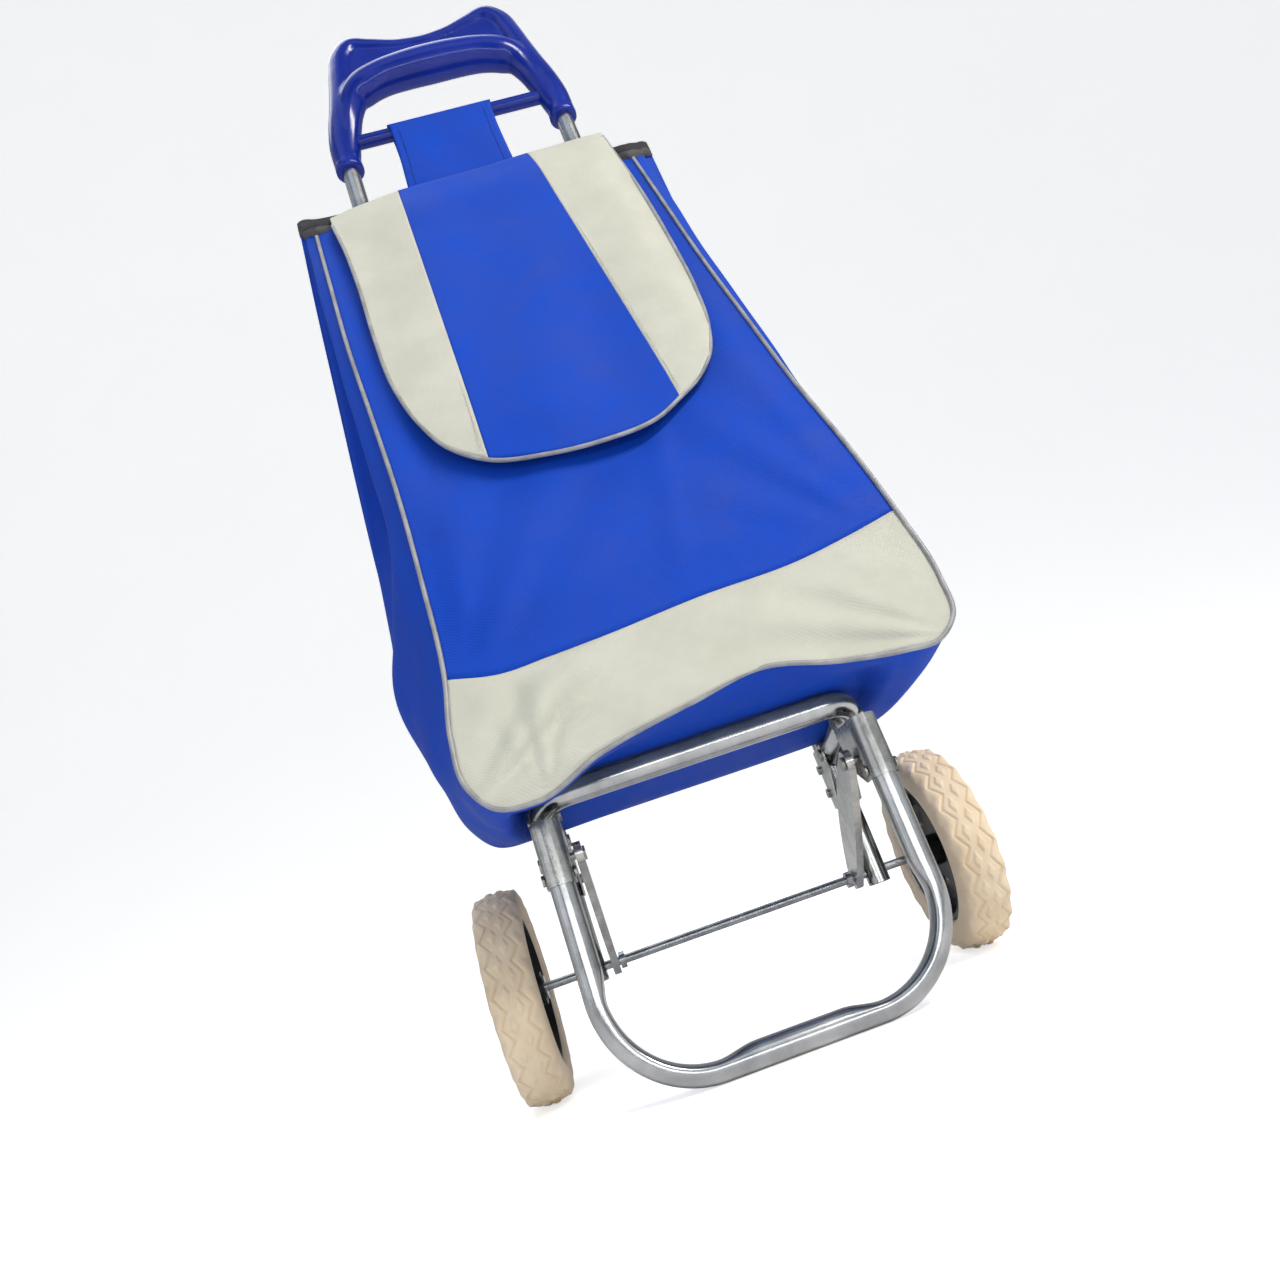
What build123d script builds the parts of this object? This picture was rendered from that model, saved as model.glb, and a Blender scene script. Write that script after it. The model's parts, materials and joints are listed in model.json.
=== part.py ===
from build123d import *
from math import cos, hypot, radians, sin, tan
import os

# A two-wheeled folding shopping trolley with a cloth bag, standing on its wheels and foot bar.
# Sizes are in millimetres. The cart has its own upright frame: x to the right, y to the back,
# z along the uprights, with its origin in the middle of the axle. The stand then tilts that
# frame back by LEAN and lifts it by the wheel's radius, so that +Z is up and the floor is z = 0.

# ---- driving dimensions -------------------------------------------------------------------
LEAN = 7.5                  # degrees that the uprights lean back
TUBE = 16.0                 # outer diameter of every frame tube
UPRIGHT_WALL = 0.6
LOOP_WALL = 1.2
FRAME_HALF = 105.0          # from the middle to each upright, platform leg and foot leg
UPRIGHT_TOP = 797.0
UPRIGHT_FOOT = -9.0         # the open tube end, below the axle
GAP = 0.3                   # between moving tubes and the sheet brackets around them
END_PLAY = 0.5              # between parts that sit side by side on one line
PIN_PLAY = 0.05             # radial play of a pin or shaft in its hole

AXLE = 6.0
WHEEL = 144.0
TYRE_WIDTH = 32.0
TYRE_BORE = 98.0
TYRE_SHOULDER = 9.0         # rounding of the tread's edges
TRACK = 313.0

PLATFORM_RISE = 8.0         # degrees that the platform slopes up towards its front bar
PIVOT_Y, PIVOT_Z = -19.0, 87.0      # platform hinge, in front of the upright
FOOT_Y = -112.0             # foot loop, parallel to the uprights
KNEE_Y, KNEE_Z = -84.0, 93.5        # hinge between platform and foot loop
STRUT_Y, STRUT_Z = -98.0, 63.0      # hinge of the strut on the foot bracket
PLATFORM_BEND = 20.0
FOOT_BEND = 57.0

SHEET = 1.2                 # bracket sheet
PIN = 5.0
PIN_HEAD = 9.0
PIN_HEAD_HEIGHT = 1.5
STRUT_OUT = 92.6            # outer face of each strut, from the middle
STRUT_DEPTH = 5.0

SLEEVE = 26.0               # handle sleeve over each upright
SLEEVE_DEPTH = 45.0         # how far each upright goes into its sleeve
SLEEVE_FOOT = UPRIGHT_TOP - SLEEVE_DEPTH
HANDLE_WALL = 2.5
GRIP = 32.0
GRIP_ABOVE = 53.0           # heights above the uprights' ends
GRIP_Z = UPRIGHT_TOP + GRIP_ABOVE
GRIP_RISE = 14.0
GRIP_Y = -6.0
HORN_X = 76.0
HORN_ABOVE = 111.0
HORN_Z = UPRIGHT_TOP + HORN_ABOVE
SADDLE_ABOVE = 96.0
SADDLE_Z = UPRIGHT_TOP + SADDLE_ABOVE
RAIL_Y = 4.0
CROSSBAR = 13.0
CROSSBAR_BELOW = 10.0       # depth below the uprights' ends
CROSSBAR_Z = UPRIGHT_TOP - CROSSBAR_BELOW

CLOTH = 1.4
BAG_BACK = -10.0
BAG_FOOT_DEPTH = 158.0
BAG_FOOT_HALF = 154.0
BAG_BELLY_Z = 240.0
BAG_BELLY_HALF = 171.0
BAG_TOP_Z = 668.0
BAG_TOP_DEPTH = 34.0
BAG_TOP_HALF = 157.0
BAG_CORNER = 24.0
BAG_MOUTH_CORNER = 12.0
PANEL_FOOT_HALF = 146.0     # half the front panel between its side seams, at the foot
PANEL_TOP_HALF = 141.0
PANEL_CORNER = 60.0
BINDING = 18.0
STRAP_HALF = 54.0
FLAP_HALF = 131.0
FLAP_HINGE_Y, FLAP_HINGE_Z = -13.0, 694.0
FLAP_KINK_Y, FLAP_KINK_Z = -50.0, 691.0
FLAP_TIP_Z = 338.0
FLAP_CLEAR = 4.0
FLAP_CORNER = 88.0
PIPING = 4.0

FOOT_Z = (TUBE / 2 - WHEEL / 2 + FOOT_Y * sin(radians(LEAN))) / cos(radians(LEAN))
TUBE_R = TUBE / 2
RISE = radians(PLATFORM_RISE)


def leaned_y(y, z):
    """The standing y of a point of the cart, before the footprint is centred."""
    return y * cos(radians(LEAN)) + z * sin(radians(LEAN))


def platform_z(y):
    """Height of the platform's centre line at a depth y."""
    return PIVOT_Z + (PIVOT_Y - y) * tan(RISE)


BAG_FOOT_Z = platform_z(0) + (TUBE_R + 0.5) / cos(RISE)
BAG_FRONT_Y = BAG_BACK - BAG_FOOT_DEPTH * cos(RISE)
BAG_FRONT_Z = BAG_FOOT_Z - BAG_FRONT_Y * tan(RISE)
FACE_SLOPE = (BAG_BACK - BAG_TOP_DEPTH - BAG_FRONT_Y) / (BAG_TOP_Z - BAG_FRONT_Z)
BAG_BELLY_DEPTH = BAG_TOP_DEPTH + (BAG_TOP_Z - BAG_BELLY_Z) * FACE_SLOPE
FRONT_REACH = leaned_y(BAG_FRONT_Y, BAG_FRONT_Z)
BACK_REACH = leaned_y(0, HORN_Z) + SLEEVE / 2
STAND = Location((0, -(FRONT_REACH + BACK_REACH) / 2, WHEEL / 2), (-LEAN, 0, 0))


def stood(plane):
    return Plane(STAND * plane.location)


def level(z):
    """A plane across the uprights: its x is the cart's x, its y the cart's y."""
    return stood(Plane.XY.offset(z))


def side(x):
    """A plane square to the axle: its x is the cart's y, its y the cart's z."""
    return stood(Plane.YZ.offset(x))


def front(y):
    """A plane square to the cart's depth: its x is the cart's x, its y the cart's z."""
    return stood(Plane.XZ.offset(-y))


def save(piece, name):
    piece.part.label = name
    export_step(piece.part, f"parts/{name}.step")


os.makedirs("parts", exist_ok=True)
HANDS = {"left": -1, "right": 1}
AXLE_LINE = Axis(STAND.position, (1, 0, 0))

# ---- uprights -----------------------------------------------------------------------------
RIVET = 4.0
RIVET_HEAD = 7.0
RIVET_Z = (62.0, 80.0)
SCREW = 3.5
SCREW_BELOW = 29.0          # depth below the uprights' ends
SCREW_Z = UPRIGHT_TOP - SCREW_BELOW
for name, hand in HANDS.items():
    x = hand * FRAME_HALF
    with BuildPart() as upright:
        with BuildSketch(level(UPRIGHT_FOOT)):
            with Locations((x, 0)):
                Circle(TUBE_R)
                Circle(TUBE_R - UPRIGHT_WALL, mode=Mode.SUBTRACT)
        extrude(amount=UPRIGHT_TOP - UPRIGHT_FOOT)
        with BuildSketch(side(x)):
            Circle(AXLE / 2 + PIN_PLAY)
            for z in RIVET_Z:
                with Locations((0, z)):
                    Circle(RIVET / 2 + PIN_PLAY)
        extrude(amount=TUBE, both=True, mode=Mode.SUBTRACT)
        with BuildSketch(front(0)):
            with Locations((x, SCREW_Z)):
                Circle(SCREW / 2 + PIN_PLAY)
        extrude(amount=-TUBE, mode=Mode.SUBTRACT)
    save(upright, f"upright_{name}")

# ---- axle, its clips, washers and caps ----------------------------------------------------
HUB_HALF = 15.0
CAP = 18.0
CAP_DEPTH = 6.0
CAP_END = 2.0
AXLE_HALF = TRACK / 2 + HUB_HALF + CAP_DEPTH
with BuildPart() as axle:
    with BuildSketch(side(-AXLE_HALF)):
        Circle(AXLE / 2)
    extrude(amount=2 * AXLE_HALF)
save(axle, "axle")


def rings(stations, outer, bore, length):
    """A pair of rings on the axle, one each side, starting at each station and going out."""
    for hand in HANDS.values():
        with BuildSketch(side(hand * stations)) as face:
            Circle(outer / 2)
            Circle(bore / 2, mode=Mode.SUBTRACT)
        extrude(face.sketch, amount=hand * length)


CLIP = 11.0
CLIP_LENGTH = 4.0
with BuildPart() as axle_clips:
    rings(STRUT_OUT - STRUT_DEPTH - 2 * END_PLAY - CLIP_LENGTH, CLIP, AXLE + 2 * PIN_PLAY, CLIP_LENGTH)
save(axle_clips, "axle_clips")

WASHER = 16.0
WASHER_DEPTH = 1.2
with BuildPart() as axle_washers:
    rings(TRACK / 2 - HUB_HALF - END_PLAY - WASHER_DEPTH, WASHER, AXLE + 2 * PIN_PLAY, WASHER_DEPTH)
save(axle_washers, "axle_washers")

with BuildPart() as axle_caps:
    rings(TRACK / 2 + HUB_HALF + END_PLAY, CAP, AXLE + 2 * PIN_PLAY, CAP_DEPTH)
    for hand in HANDS.values():
        with BuildSketch(side(hand * (AXLE_HALF + END_PLAY))):
            Circle(CAP / 2)
        extrude(amount=hand * CAP_END)
save(axle_caps, "axle_caps")

# ---- wheels -------------------------------------------------------------------------------
RIM_WALL = 3.0
RIM_WIDTH = 26.0
HUB = 22.0
WEB = 4.0                   # disc between the hub and the rim
SPOKES = 6
SPOKE_HOLE, SPOKE_HOLE_WIDTH = 22.0, 14.0
SEAT = 0.05                 # between the tyre and the rim it is pressed on
for name, hand in HANDS.items():
    centre = hand * TRACK / 2
    with BuildPart() as tyre:
        with BuildSketch(level(0)):
            with Locations((centre, (WHEEL + TYRE_BORE) / 4)):
                Rectangle(TYRE_WIDTH, (WHEEL - TYRE_BORE) / 2)
        revolve(axis=AXLE_LINE)
        outer_edges = tyre.edges().filter_by(GeomType.CIRCLE).filter_by(
            lambda edge: edge.radius > WHEEL / 2 - 1)
        fillet(outer_edges, TYRE_SHOULDER)
    save(tyre, f"tyre_{name}")

    rim_r = TYRE_BORE / 2 - SEAT
    with BuildPart() as rim:
        with BuildSketch(level(0)):
            with Locations((centre, rim_r - RIM_WALL / 2)):
                Rectangle(RIM_WIDTH, RIM_WALL)
            with Locations((centre, (HUB + AXLE) / 4 + PIN_PLAY / 2)):
                Rectangle(2 * HUB_HALF, (HUB - AXLE) / 2 - PIN_PLAY)
            with Locations((centre, (rim_r - RIM_WALL + HUB / 2) / 2)):
                Rectangle(WEB, rim_r - HUB / 2)
        revolve(axis=AXLE_LINE)
        with BuildSketch(side(centre)):
            with PolarLocations((rim_r + HUB / 2) / 2, SPOKES):
                SlotOverall(SPOKE_HOLE, SPOKE_HOLE_WIDTH, rotation=90)
        extrude(amount=TYRE_WIDTH, both=True, mode=Mode.SUBTRACT)
    save(rim, f"rim_{name}")


# ---- bent tube loops ----------------------------------------------------------------------
def loop_tube(plane, leg_start, bar, bend):
    """A U of tube on a plane whose x is the cart's x: legs from leg_start to the bar."""
    with BuildLine(plane) as path:
        FilletPolyline(
            (-FRAME_HALF, leg_start), (-FRAME_HALF, bar), (FRAME_HALF, bar), (FRAME_HALF, leg_start),
            radius=bend)
    wire = path.wires()[0]
    with BuildSketch(Plane(wire @ 0, z_dir=wire % 0)) as section:
        Circle(TUBE_R)
        Circle(TUBE_R - LOOP_WALL, mode=Mode.SUBTRACT)
    sweep(section.sketch, path=wire)


def across_holes(points, radius):
    """Holes right through, square to the axle."""
    with BuildSketch(side(0)) as face:
        with Locations(*points):
            Circle(radius)
    extrude(face.sketch, amount=2 * FRAME_HALF, both=True, mode=Mode.SUBTRACT)


PLATFORM_TAIL = 5.0         # tube behind the platform hinge
PLATFORM_LENGTH = 91.0      # from the hinge to the middle of the front bar
platform_plane = stood(Plane((0, PIVOT_Y, PIVOT_Z), x_dir=(1, 0, 0), z_dir=(0, sin(RISE), cos(RISE))))
with BuildPart() as platform_loop:
    loop_tube(platform_plane, PLATFORM_TAIL, -PLATFORM_LENGTH, PLATFORM_BEND)
    across_holes([(PIVOT_Y, PIVOT_Z), (KNEE_Y, KNEE_Z)], PIN / 2 + PIN_PLAY)
save(platform_loop, "platform_loop")

FOOT_TOP = 84.0
FOOT_RIVET_Z = 52.0
with BuildPart() as foot_loop:
    loop_tube(front(FOOT_Y), FOOT_TOP, FOOT_Z, FOOT_BEND)
    across_holes([(FOOT_Y, FOOT_RIVET_Z)], RIVET / 2 + PIN_PLAY)
save(foot_loop, "foot_loop")


# ---- sheet brackets -----------------------------------------------------------------------
def channel(x, web_y, ears_y, foot_z, top_z):
    """A sheet channel round a tube at (x, web_y), with two flat ears that reach to ears_y."""
    inner = TUBE_R + GAP
    middle = (web_y + ears_y) / 2
    length = abs(ears_y - web_y)
    with BuildSketch(level(foot_z)) as face:
        with Locations((x, web_y)):
            Circle(inner + SHEET)
        with Locations((x, middle)):
            Rectangle(2 * (inner + SHEET), length)
        with Locations((x, web_y)):
            Circle(inner, mode=Mode.SUBTRACT)
        with Locations((x, ears_y)):
            Rectangle(2 * inner, 2 * length, mode=Mode.SUBTRACT)
    extrude(face.sketch, amount=top_z - foot_z)


EAR_EDGE = 6.5              # from a pin to the ear's edge
EAR_NECK = 12.0             # from a pin down to where the ear starts to taper
REAR_EAR_Y = PIVOT_Y - EAR_EDGE
REAR_FOOT_Z, REAR_TOP_Z = 50.0, PIVOT_Z + EAR_EDGE
KNEE_EAR_Y = KNEE_Y + EAR_EDGE
FRONT_FOOT_Z, FRONT_TOP_Z = 46.0, KNEE_Z + EAR_EDGE
STRUT_EDGE = 8.0            # from the strut pin to the ear's lower corner
SLEEVE_EDGE_Z = FOOT_TOP + 2
NOTCH_Y, NOTCH_Z = KNEE_Y - 3.5, KNEE_Z - 5.5   # clear of the platform's bend above the sleeve
for name, hand in HANDS.items():
    x = hand * FRAME_HALF
    with BuildPart() as rear_bracket:
        channel(x, 0, REAR_EAR_Y, REAR_FOOT_Z, REAR_TOP_Z)
        with BuildSketch(side(x)):
            with BuildLine():
                Polyline(
                    (TUBE, REAR_FOOT_Z), (-TUBE_R, REAR_FOOT_Z), (REAR_EAR_Y, PIVOT_Z - EAR_NECK),
                    (REAR_EAR_Y, REAR_TOP_Z), (TUBE, REAR_TOP_Z), close=True)
            make_face()
        extrude(amount=TUBE, both=True, mode=Mode.INTERSECT)
        across_holes([(PIVOT_Y, PIVOT_Z)], PIN / 2 + PIN_PLAY)
        across_holes([(0, z) for z in RIVET_Z], RIVET / 2 + PIN_PLAY)
    save(rear_bracket, f"rear_bracket_{name}")

    with BuildPart() as foot_bracket:
        channel(x, FOOT_Y, KNEE_EAR_Y, FRONT_FOOT_Z, FRONT_TOP_Z)
        with BuildSketch(side(x)):
            with BuildLine():
                Polyline(
                    (FOOT_Y - TUBE, FRONT_FOOT_Z), (FOOT_Y + TUBE_R, FRONT_FOOT_Z),
                    (STRUT_Y + STRUT_EDGE, STRUT_Z - STRUT_EDGE), (KNEE_EAR_Y, KNEE_Z - EAR_NECK),
                    (KNEE_EAR_Y, FRONT_TOP_Z), (NOTCH_Y + 1, FRONT_TOP_Z), (NOTCH_Y, NOTCH_Z),
                    (FOOT_Y + TUBE_R, SLEEVE_EDGE_Z), (FOOT_Y - TUBE, SLEEVE_EDGE_Z), close=True)
            make_face()
        extrude(amount=TUBE, both=True, mode=Mode.INTERSECT)
        across_holes([(KNEE_Y, KNEE_Z), (STRUT_Y, STRUT_Z)], PIN / 2 + PIN_PLAY)
        across_holes([(FOOT_Y, FOOT_RIVET_Z)], RIVET / 2 + PIN_PLAY)
    save(foot_bracket, f"foot_bracket_{name}")


# ---- pins and rivets ----------------------------------------------------------------------
def headed_pins(points, shank, head, inner_x, outer_x):
    """Pins square to the axle, one each side for each point, with a round head at both ends."""
    for hand in HANDS.values():
        for y, z in points:
            for start, length, diameter in (
                    (inner_x, outer_x - inner_x, shank), (inner_x, -PIN_HEAD_HEIGHT, head),
                    (outer_x, PIN_HEAD_HEIGHT, head)):
                with BuildSketch(side(hand * start)) as face:
                    with Locations((y, z)):
                        Circle(diameter / 2)
                extrude(face.sketch, amount=hand * length)


EAR_IN = FRAME_HALF - TUBE_R - GAP - SHEET
EAR_OUT = FRAME_HALF + TUBE_R + GAP + SHEET
with BuildPart() as platform_pivot_pins:
    headed_pins([(PIVOT_Y, PIVOT_Z)], PIN, PIN_HEAD, EAR_IN, EAR_OUT)
save(platform_pivot_pins, "platform_pivot_pins")
with BuildPart() as knee_pins:
    headed_pins([(KNEE_Y, KNEE_Z)], PIN, PIN_HEAD, EAR_IN, EAR_OUT)
save(knee_pins, "knee_pins")
with BuildPart() as rear_rivets:
    headed_pins([(0, z) for z in RIVET_Z], RIVET, RIVET_HEAD, EAR_IN, EAR_OUT)
save(rear_rivets, "rear_rivets")
with BuildPart() as foot_rivets:
    headed_pins([(FOOT_Y, FOOT_RIVET_Z)], RIVET, RIVET_HEAD, EAR_IN, EAR_OUT)
save(foot_rivets, "foot_rivets")
with BuildPart() as strut_pins:
    headed_pins([(STRUT_Y, STRUT_Z)], PIN, PIN_HEAD, STRUT_OUT - STRUT_DEPTH - GAP, EAR_OUT)
save(strut_pins, "strut_pins")

# ---- struts -------------------------------------------------------------------------------
STRUT_LENGTH = hypot(STRUT_Y, STRUT_Z)
STRUT_BOSS = 8.0
STRUT_BOW_LOW, STRUT_BOW_HIGH = 11.0, 17.0      # how far the leaf bows out on each side
HOOK_PLAY = 0.3
HOOK_TURN = 12.0            # degrees between the hook's mouth and the strut's own line
HOOK_MOUTH = AXLE / 2 + HOOK_PLAY
HOOK_REACH = 2 * STRUT_BOSS
HOOK_FLARE = 2.0


def strut_plane(x):
    """Square to the axle, with its x along the strut from its hinge to the axle."""
    return stood(Plane(
        (x, STRUT_Y, STRUT_Z), x_dir=(0, -STRUT_Y / STRUT_LENGTH, -STRUT_Z / STRUT_LENGTH), z_dir=(1, 0, 0)))


def strut_outline(plane, inset):
    """A stamped leaf: round at the hinge and the hook, and bowed between them."""
    with BuildSketch(plane) as leaf:
        with BuildLine():
            lower = ThreePointArc(
                (0, -STRUT_BOSS + inset), (STRUT_LENGTH / 2, -STRUT_BOW_LOW + inset),
                (STRUT_LENGTH, -STRUT_BOSS + inset))
            tail = ThreePointArc(
                lower @ 1, (STRUT_LENGTH + STRUT_BOSS - inset, 0), (STRUT_LENGTH, STRUT_BOSS - inset))
            upper = ThreePointArc(
                tail @ 1, (STRUT_LENGTH / 2, STRUT_BOW_HIGH - inset), (0, STRUT_BOSS - inset))
            ThreePointArc(upper @ 1, (-STRUT_BOSS + inset, 0), lower @ 0)
        make_face()
    return leaf.sketch


hook_plane = Plane(strut_plane(0).location * Location((STRUT_LENGTH, 0, 0), (0, 0, HOOK_TURN)))
for name, hand in HANDS.items():
    with BuildPart() as strut:
        face = strut_outline(strut_plane(hand * (STRUT_OUT - STRUT_DEPTH)), 0)
        extrude(face, amount=STRUT_DEPTH, dir=(hand, 0, 0))
        hollow = strut_outline(strut_plane(hand * (STRUT_OUT - STRUT_DEPTH + SHEET)), SHEET)
        extrude(hollow, amount=STRUT_DEPTH, dir=(hand, 0, 0), mode=Mode.SUBTRACT)
        with BuildSketch(strut_plane(0)):
            Circle(PIN / 2 + PIN_PLAY)
            with Locations((STRUT_LENGTH, 0)):
                Circle(AXLE / 2 + HOOK_PLAY)
        with BuildSketch(hook_plane):
            with BuildLine():
                Polyline(
                    (0, HOOK_MOUTH), (HOOK_REACH, HOOK_MOUTH + HOOK_FLARE),
                    (HOOK_REACH, -HOOK_MOUTH - HOOK_FLARE), (0, -HOOK_MOUTH), close=True)
            make_face()
        extrude(amount=2 * FRAME_HALF, both=True, mode=Mode.SUBTRACT)
    save(strut, f"strut_{name}")

# ---- handle -------------------------------------------------------------------------------
SHOULDER_Z = SLEEVE_FOOT + 122
HORN_BEND = 14.0
SOCKET_TOP = UPRIGHT_TOP + 1.0      # the sleeve's bore goes just past the tube's end
RAIL_POINTS = [
    (-FRAME_HALF, SHOULDER_Z), (-HORN_X, HORN_Z), (0, SADDLE_Z), (HORN_X, HORN_Z), (FRAME_HALF, SHOULDER_Z)]


def rail(diameter, foot_z):
    """The sleeves and the bowed top rail: a horn at each shoulder and a saddle in the middle."""
    with BuildLine(front(0)) as path:
        FilletPolyline((-FRAME_HALF, foot_z), *RAIL_POINTS, (FRAME_HALF, foot_z), radius=HORN_BEND)
    wire = path.wires()[0]
    with BuildSketch(Plane(wire @ 0, z_dir=wire % 0)) as section:
        Circle(diameter / 2)
    sweep(section.sketch, path=wire)


def grip(diameter, half):
    """The arched grip bar between the sleeves."""
    with BuildLine(front(GRIP_Y)) as path:
        ThreePointArc((-half, GRIP_Z), (0, GRIP_Z + GRIP_RISE), (half, GRIP_Z))
    wire = path.wires()[0]
    with BuildSketch(Plane(wire @ 0, z_dir=wire % 0)) as section:
        Circle(diameter / 2)
    sweep(section.sketch, path=wire)


with BuildPart() as handle_core:
    rail(SLEEVE - 2 * HANDLE_WALL, SOCKET_TOP)
    grip(GRIP - 2 * HANDLE_WALL, FRAME_HALF - 1)
with BuildPart() as handle:
    rail(SLEEVE, SLEEVE_FOOT)
    grip(GRIP, FRAME_HALF)
    with BuildSketch(front(RAIL_Y)):
        with BuildLine():
            Polyline(
                (-FRAME_HALF, GRIP_Z), *RAIL_POINTS, (FRAME_HALF, GRIP_Z), (0, GRIP_Z + GRIP_RISE), close=True)
        make_face()
    extrude(amount=HANDLE_WALL)
    add(handle_core.part, mode=Mode.SUBTRACT)
    with BuildSketch(level(SLEEVE_FOOT)):
        for hand in HANDS.values():
            with Locations((hand * FRAME_HALF, 0)):
                Circle(TUBE_R + PIN_PLAY)
    extrude(amount=SOCKET_TOP - SLEEVE_FOOT, mode=Mode.SUBTRACT)
    with BuildSketch(side(0)):
        with Locations((0, CROSSBAR_Z)):
            Circle(CROSSBAR / 2 + PIN_PLAY)
    extrude(amount=FRAME_HALF, both=True, mode=Mode.SUBTRACT)
    with BuildSketch(front(0)):
        for hand in HANDS.values():
            with Locations((hand * FRAME_HALF, SCREW_Z)):
                Circle(SCREW / 2 + PIN_PLAY)
    extrude(amount=-SLEEVE, mode=Mode.SUBTRACT)
save(handle, "handle")

CROSSBAR_HALF = FRAME_HALF - TUBE_R - END_PLAY
CROSSBAR_WALL = 2.0
with BuildPart() as handle_crossbar:
    with BuildSketch(side(-CROSSBAR_HALF)):
        with Locations((0, CROSSBAR_Z)):
            Circle(CROSSBAR / 2)
            Circle(CROSSBAR / 2 - CROSSBAR_WALL, mode=Mode.SUBTRACT)
    extrude(amount=2 * CROSSBAR_HALF)
save(handle_crossbar, "handle_crossbar")

SCREW_GRIP = 3.0            # how far a screw's tip reaches inside the tube's wall
SCREW_HEAD_HEIGHT = 2.0
HEAD_Y = SLEEVE / 2 + 0.1
with BuildPart() as handle_screws:
    for hand in HANDS.values():
        with BuildSketch(front(TUBE_R - UPRIGHT_WALL - SCREW_GRIP)):
            with Locations((hand * FRAME_HALF, SCREW_Z)):
                Circle(SCREW / 2)
        extrude(amount=-(HEAD_Y + 0.1 - TUBE_R + UPRIGHT_WALL + SCREW_GRIP))
        with BuildSketch(front(HEAD_Y)):
            with Locations((hand * FRAME_HALF, SCREW_Z)):
                Circle(SCREW)
        extrude(amount=-SCREW_HEAD_HEIGHT)
save(handle_screws, "handle_screws")


# ---- bag ----------------------------------------------------------------------------------
def bag_section(plane, half, back, depth, corner, inset):
    with BuildSketch(plane) as section:
        with Locations((0, back - depth / 2)):
            RectangleRounded(2 * (half - inset), depth - 2 * inset, corner - inset)
    return section.sketch


foot_plane = stood(Plane(
    (0, 0, BAG_FOOT_Z), x_dir=(1, 0, 0), z_dir=(0, sin(RISE), cos(RISE))))


def bag_loft(inset, mode=Mode.ADD):
    """The bag's outer shape, or the same shape moved in by inset with an open top."""
    foot = bag_section(foot_plane.offset(inset), BAG_FOOT_HALF, BAG_BACK, BAG_FOOT_DEPTH, BAG_CORNER, inset)
    belly = bag_section(level(BAG_BELLY_Z), BAG_BELLY_HALF, BAG_BACK, BAG_BELLY_DEPTH, BAG_CORNER, inset)
    top = bag_section(level(BAG_TOP_Z), BAG_TOP_HALF, BAG_BACK, BAG_TOP_DEPTH, BAG_MOUTH_CORNER, inset)
    loft([foot.face(), belly.face()], ruled=True, mode=mode)
    loft([belly.face(), top.face()], ruled=True, mode=mode)


BAG_REACH = 1000.0          # more than the bag in any direction


def bag_cloth(base):
    """The shell without its base, or the base alone."""
    bag_loft(0)
    bag_loft(CLOTH, Mode.SUBTRACT)
    with BuildSketch(foot_plane.offset(CLOTH)) as below:
        Rectangle(BAG_REACH, BAG_REACH)
    extrude(below.sketch, amount=-BAG_REACH, mode=Mode.INTERSECT if base else Mode.SUBTRACT)


def between_seams(near_y, depth, mode):
    """Keeps or removes what lies between the two side seams, from near_y to the back by depth."""
    with BuildSketch(front(near_y)) as panel:
        with BuildLine():
            Polyline(
                (-PANEL_TOP_HALF, BAG_REACH), (-PANEL_TOP_HALF, BAG_TOP_Z), (-PANEL_FOOT_HALF, BAG_FRONT_Z),
                (-PANEL_FOOT_HALF, 0), (PANEL_FOOT_HALF, 0), (PANEL_FOOT_HALF, BAG_FRONT_Z),
                (PANEL_TOP_HALF, BAG_TOP_Z), (PANEL_TOP_HALF, BAG_REACH), close=True)
        make_face()
    extrude(panel.sketch, amount=-depth, mode=mode)


SPLIT_Y = BAG_BACK - BAG_TOP_DEPTH / 2
with BuildPart() as bag_front:
    bag_cloth(False)
    between_seams(SPLIT_Y - BAG_REACH, BAG_REACH, Mode.INTERSECT)
save(bag_front, "bag_front")

with BuildPart() as bag_back:
    bag_cloth(False)
    between_seams(SPLIT_Y, BAG_REACH, Mode.INTERSECT)
save(bag_back, "bag_back")

with BuildPart() as bag_base:
    bag_cloth(True)
save(bag_base, "bag_base")

for name, hand in HANDS.items():
    with BuildPart() as bag_gusset:
        bag_cloth(False)
        between_seams(-BAG_REACH, 2 * BAG_REACH, Mode.SUBTRACT)
        with BuildSketch(side(0)):
            Rectangle(2 * BAG_REACH, 2 * BAG_REACH)
        extrude(amount=hand * BAG_REACH, mode=Mode.INTERSECT)
    save(bag_gusset, f"bag_gusset_{name}")

BINDING_CLOTH = 2.0
with BuildPart() as bag_mouth_binding:
    for inset, mode in ((0, Mode.ADD), (BINDING_CLOTH, Mode.SUBTRACT)):
        rim = bag_section(level(BAG_TOP_Z), BAG_TOP_HALF, BAG_BACK, BAG_TOP_DEPTH, BAG_MOUTH_CORNER, inset)
        extrude(rim, amount=BINDING, mode=mode)
save(bag_mouth_binding, "bag_mouth_binding")

BOARD = 4.0
BOARD_INSET = 4.0           # from the bag's sides
BOARD_BACK, BOARD_FRONT = 5.0, 7.0      # from the bag's back and front
with BuildPart() as bag_board:
    sheet = bag_section(
        foot_plane.offset(CLOTH + GAP), BAG_FOOT_HALF - BOARD_INSET, BAG_BACK - BOARD_BACK,
        BAG_FOOT_DEPTH - BOARD_BACK - BOARD_FRONT, BAG_CORNER - BOARD_INSET, 0)
    extrude(sheet, amount=BOARD)
save(bag_board, "bag_board")

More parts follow.
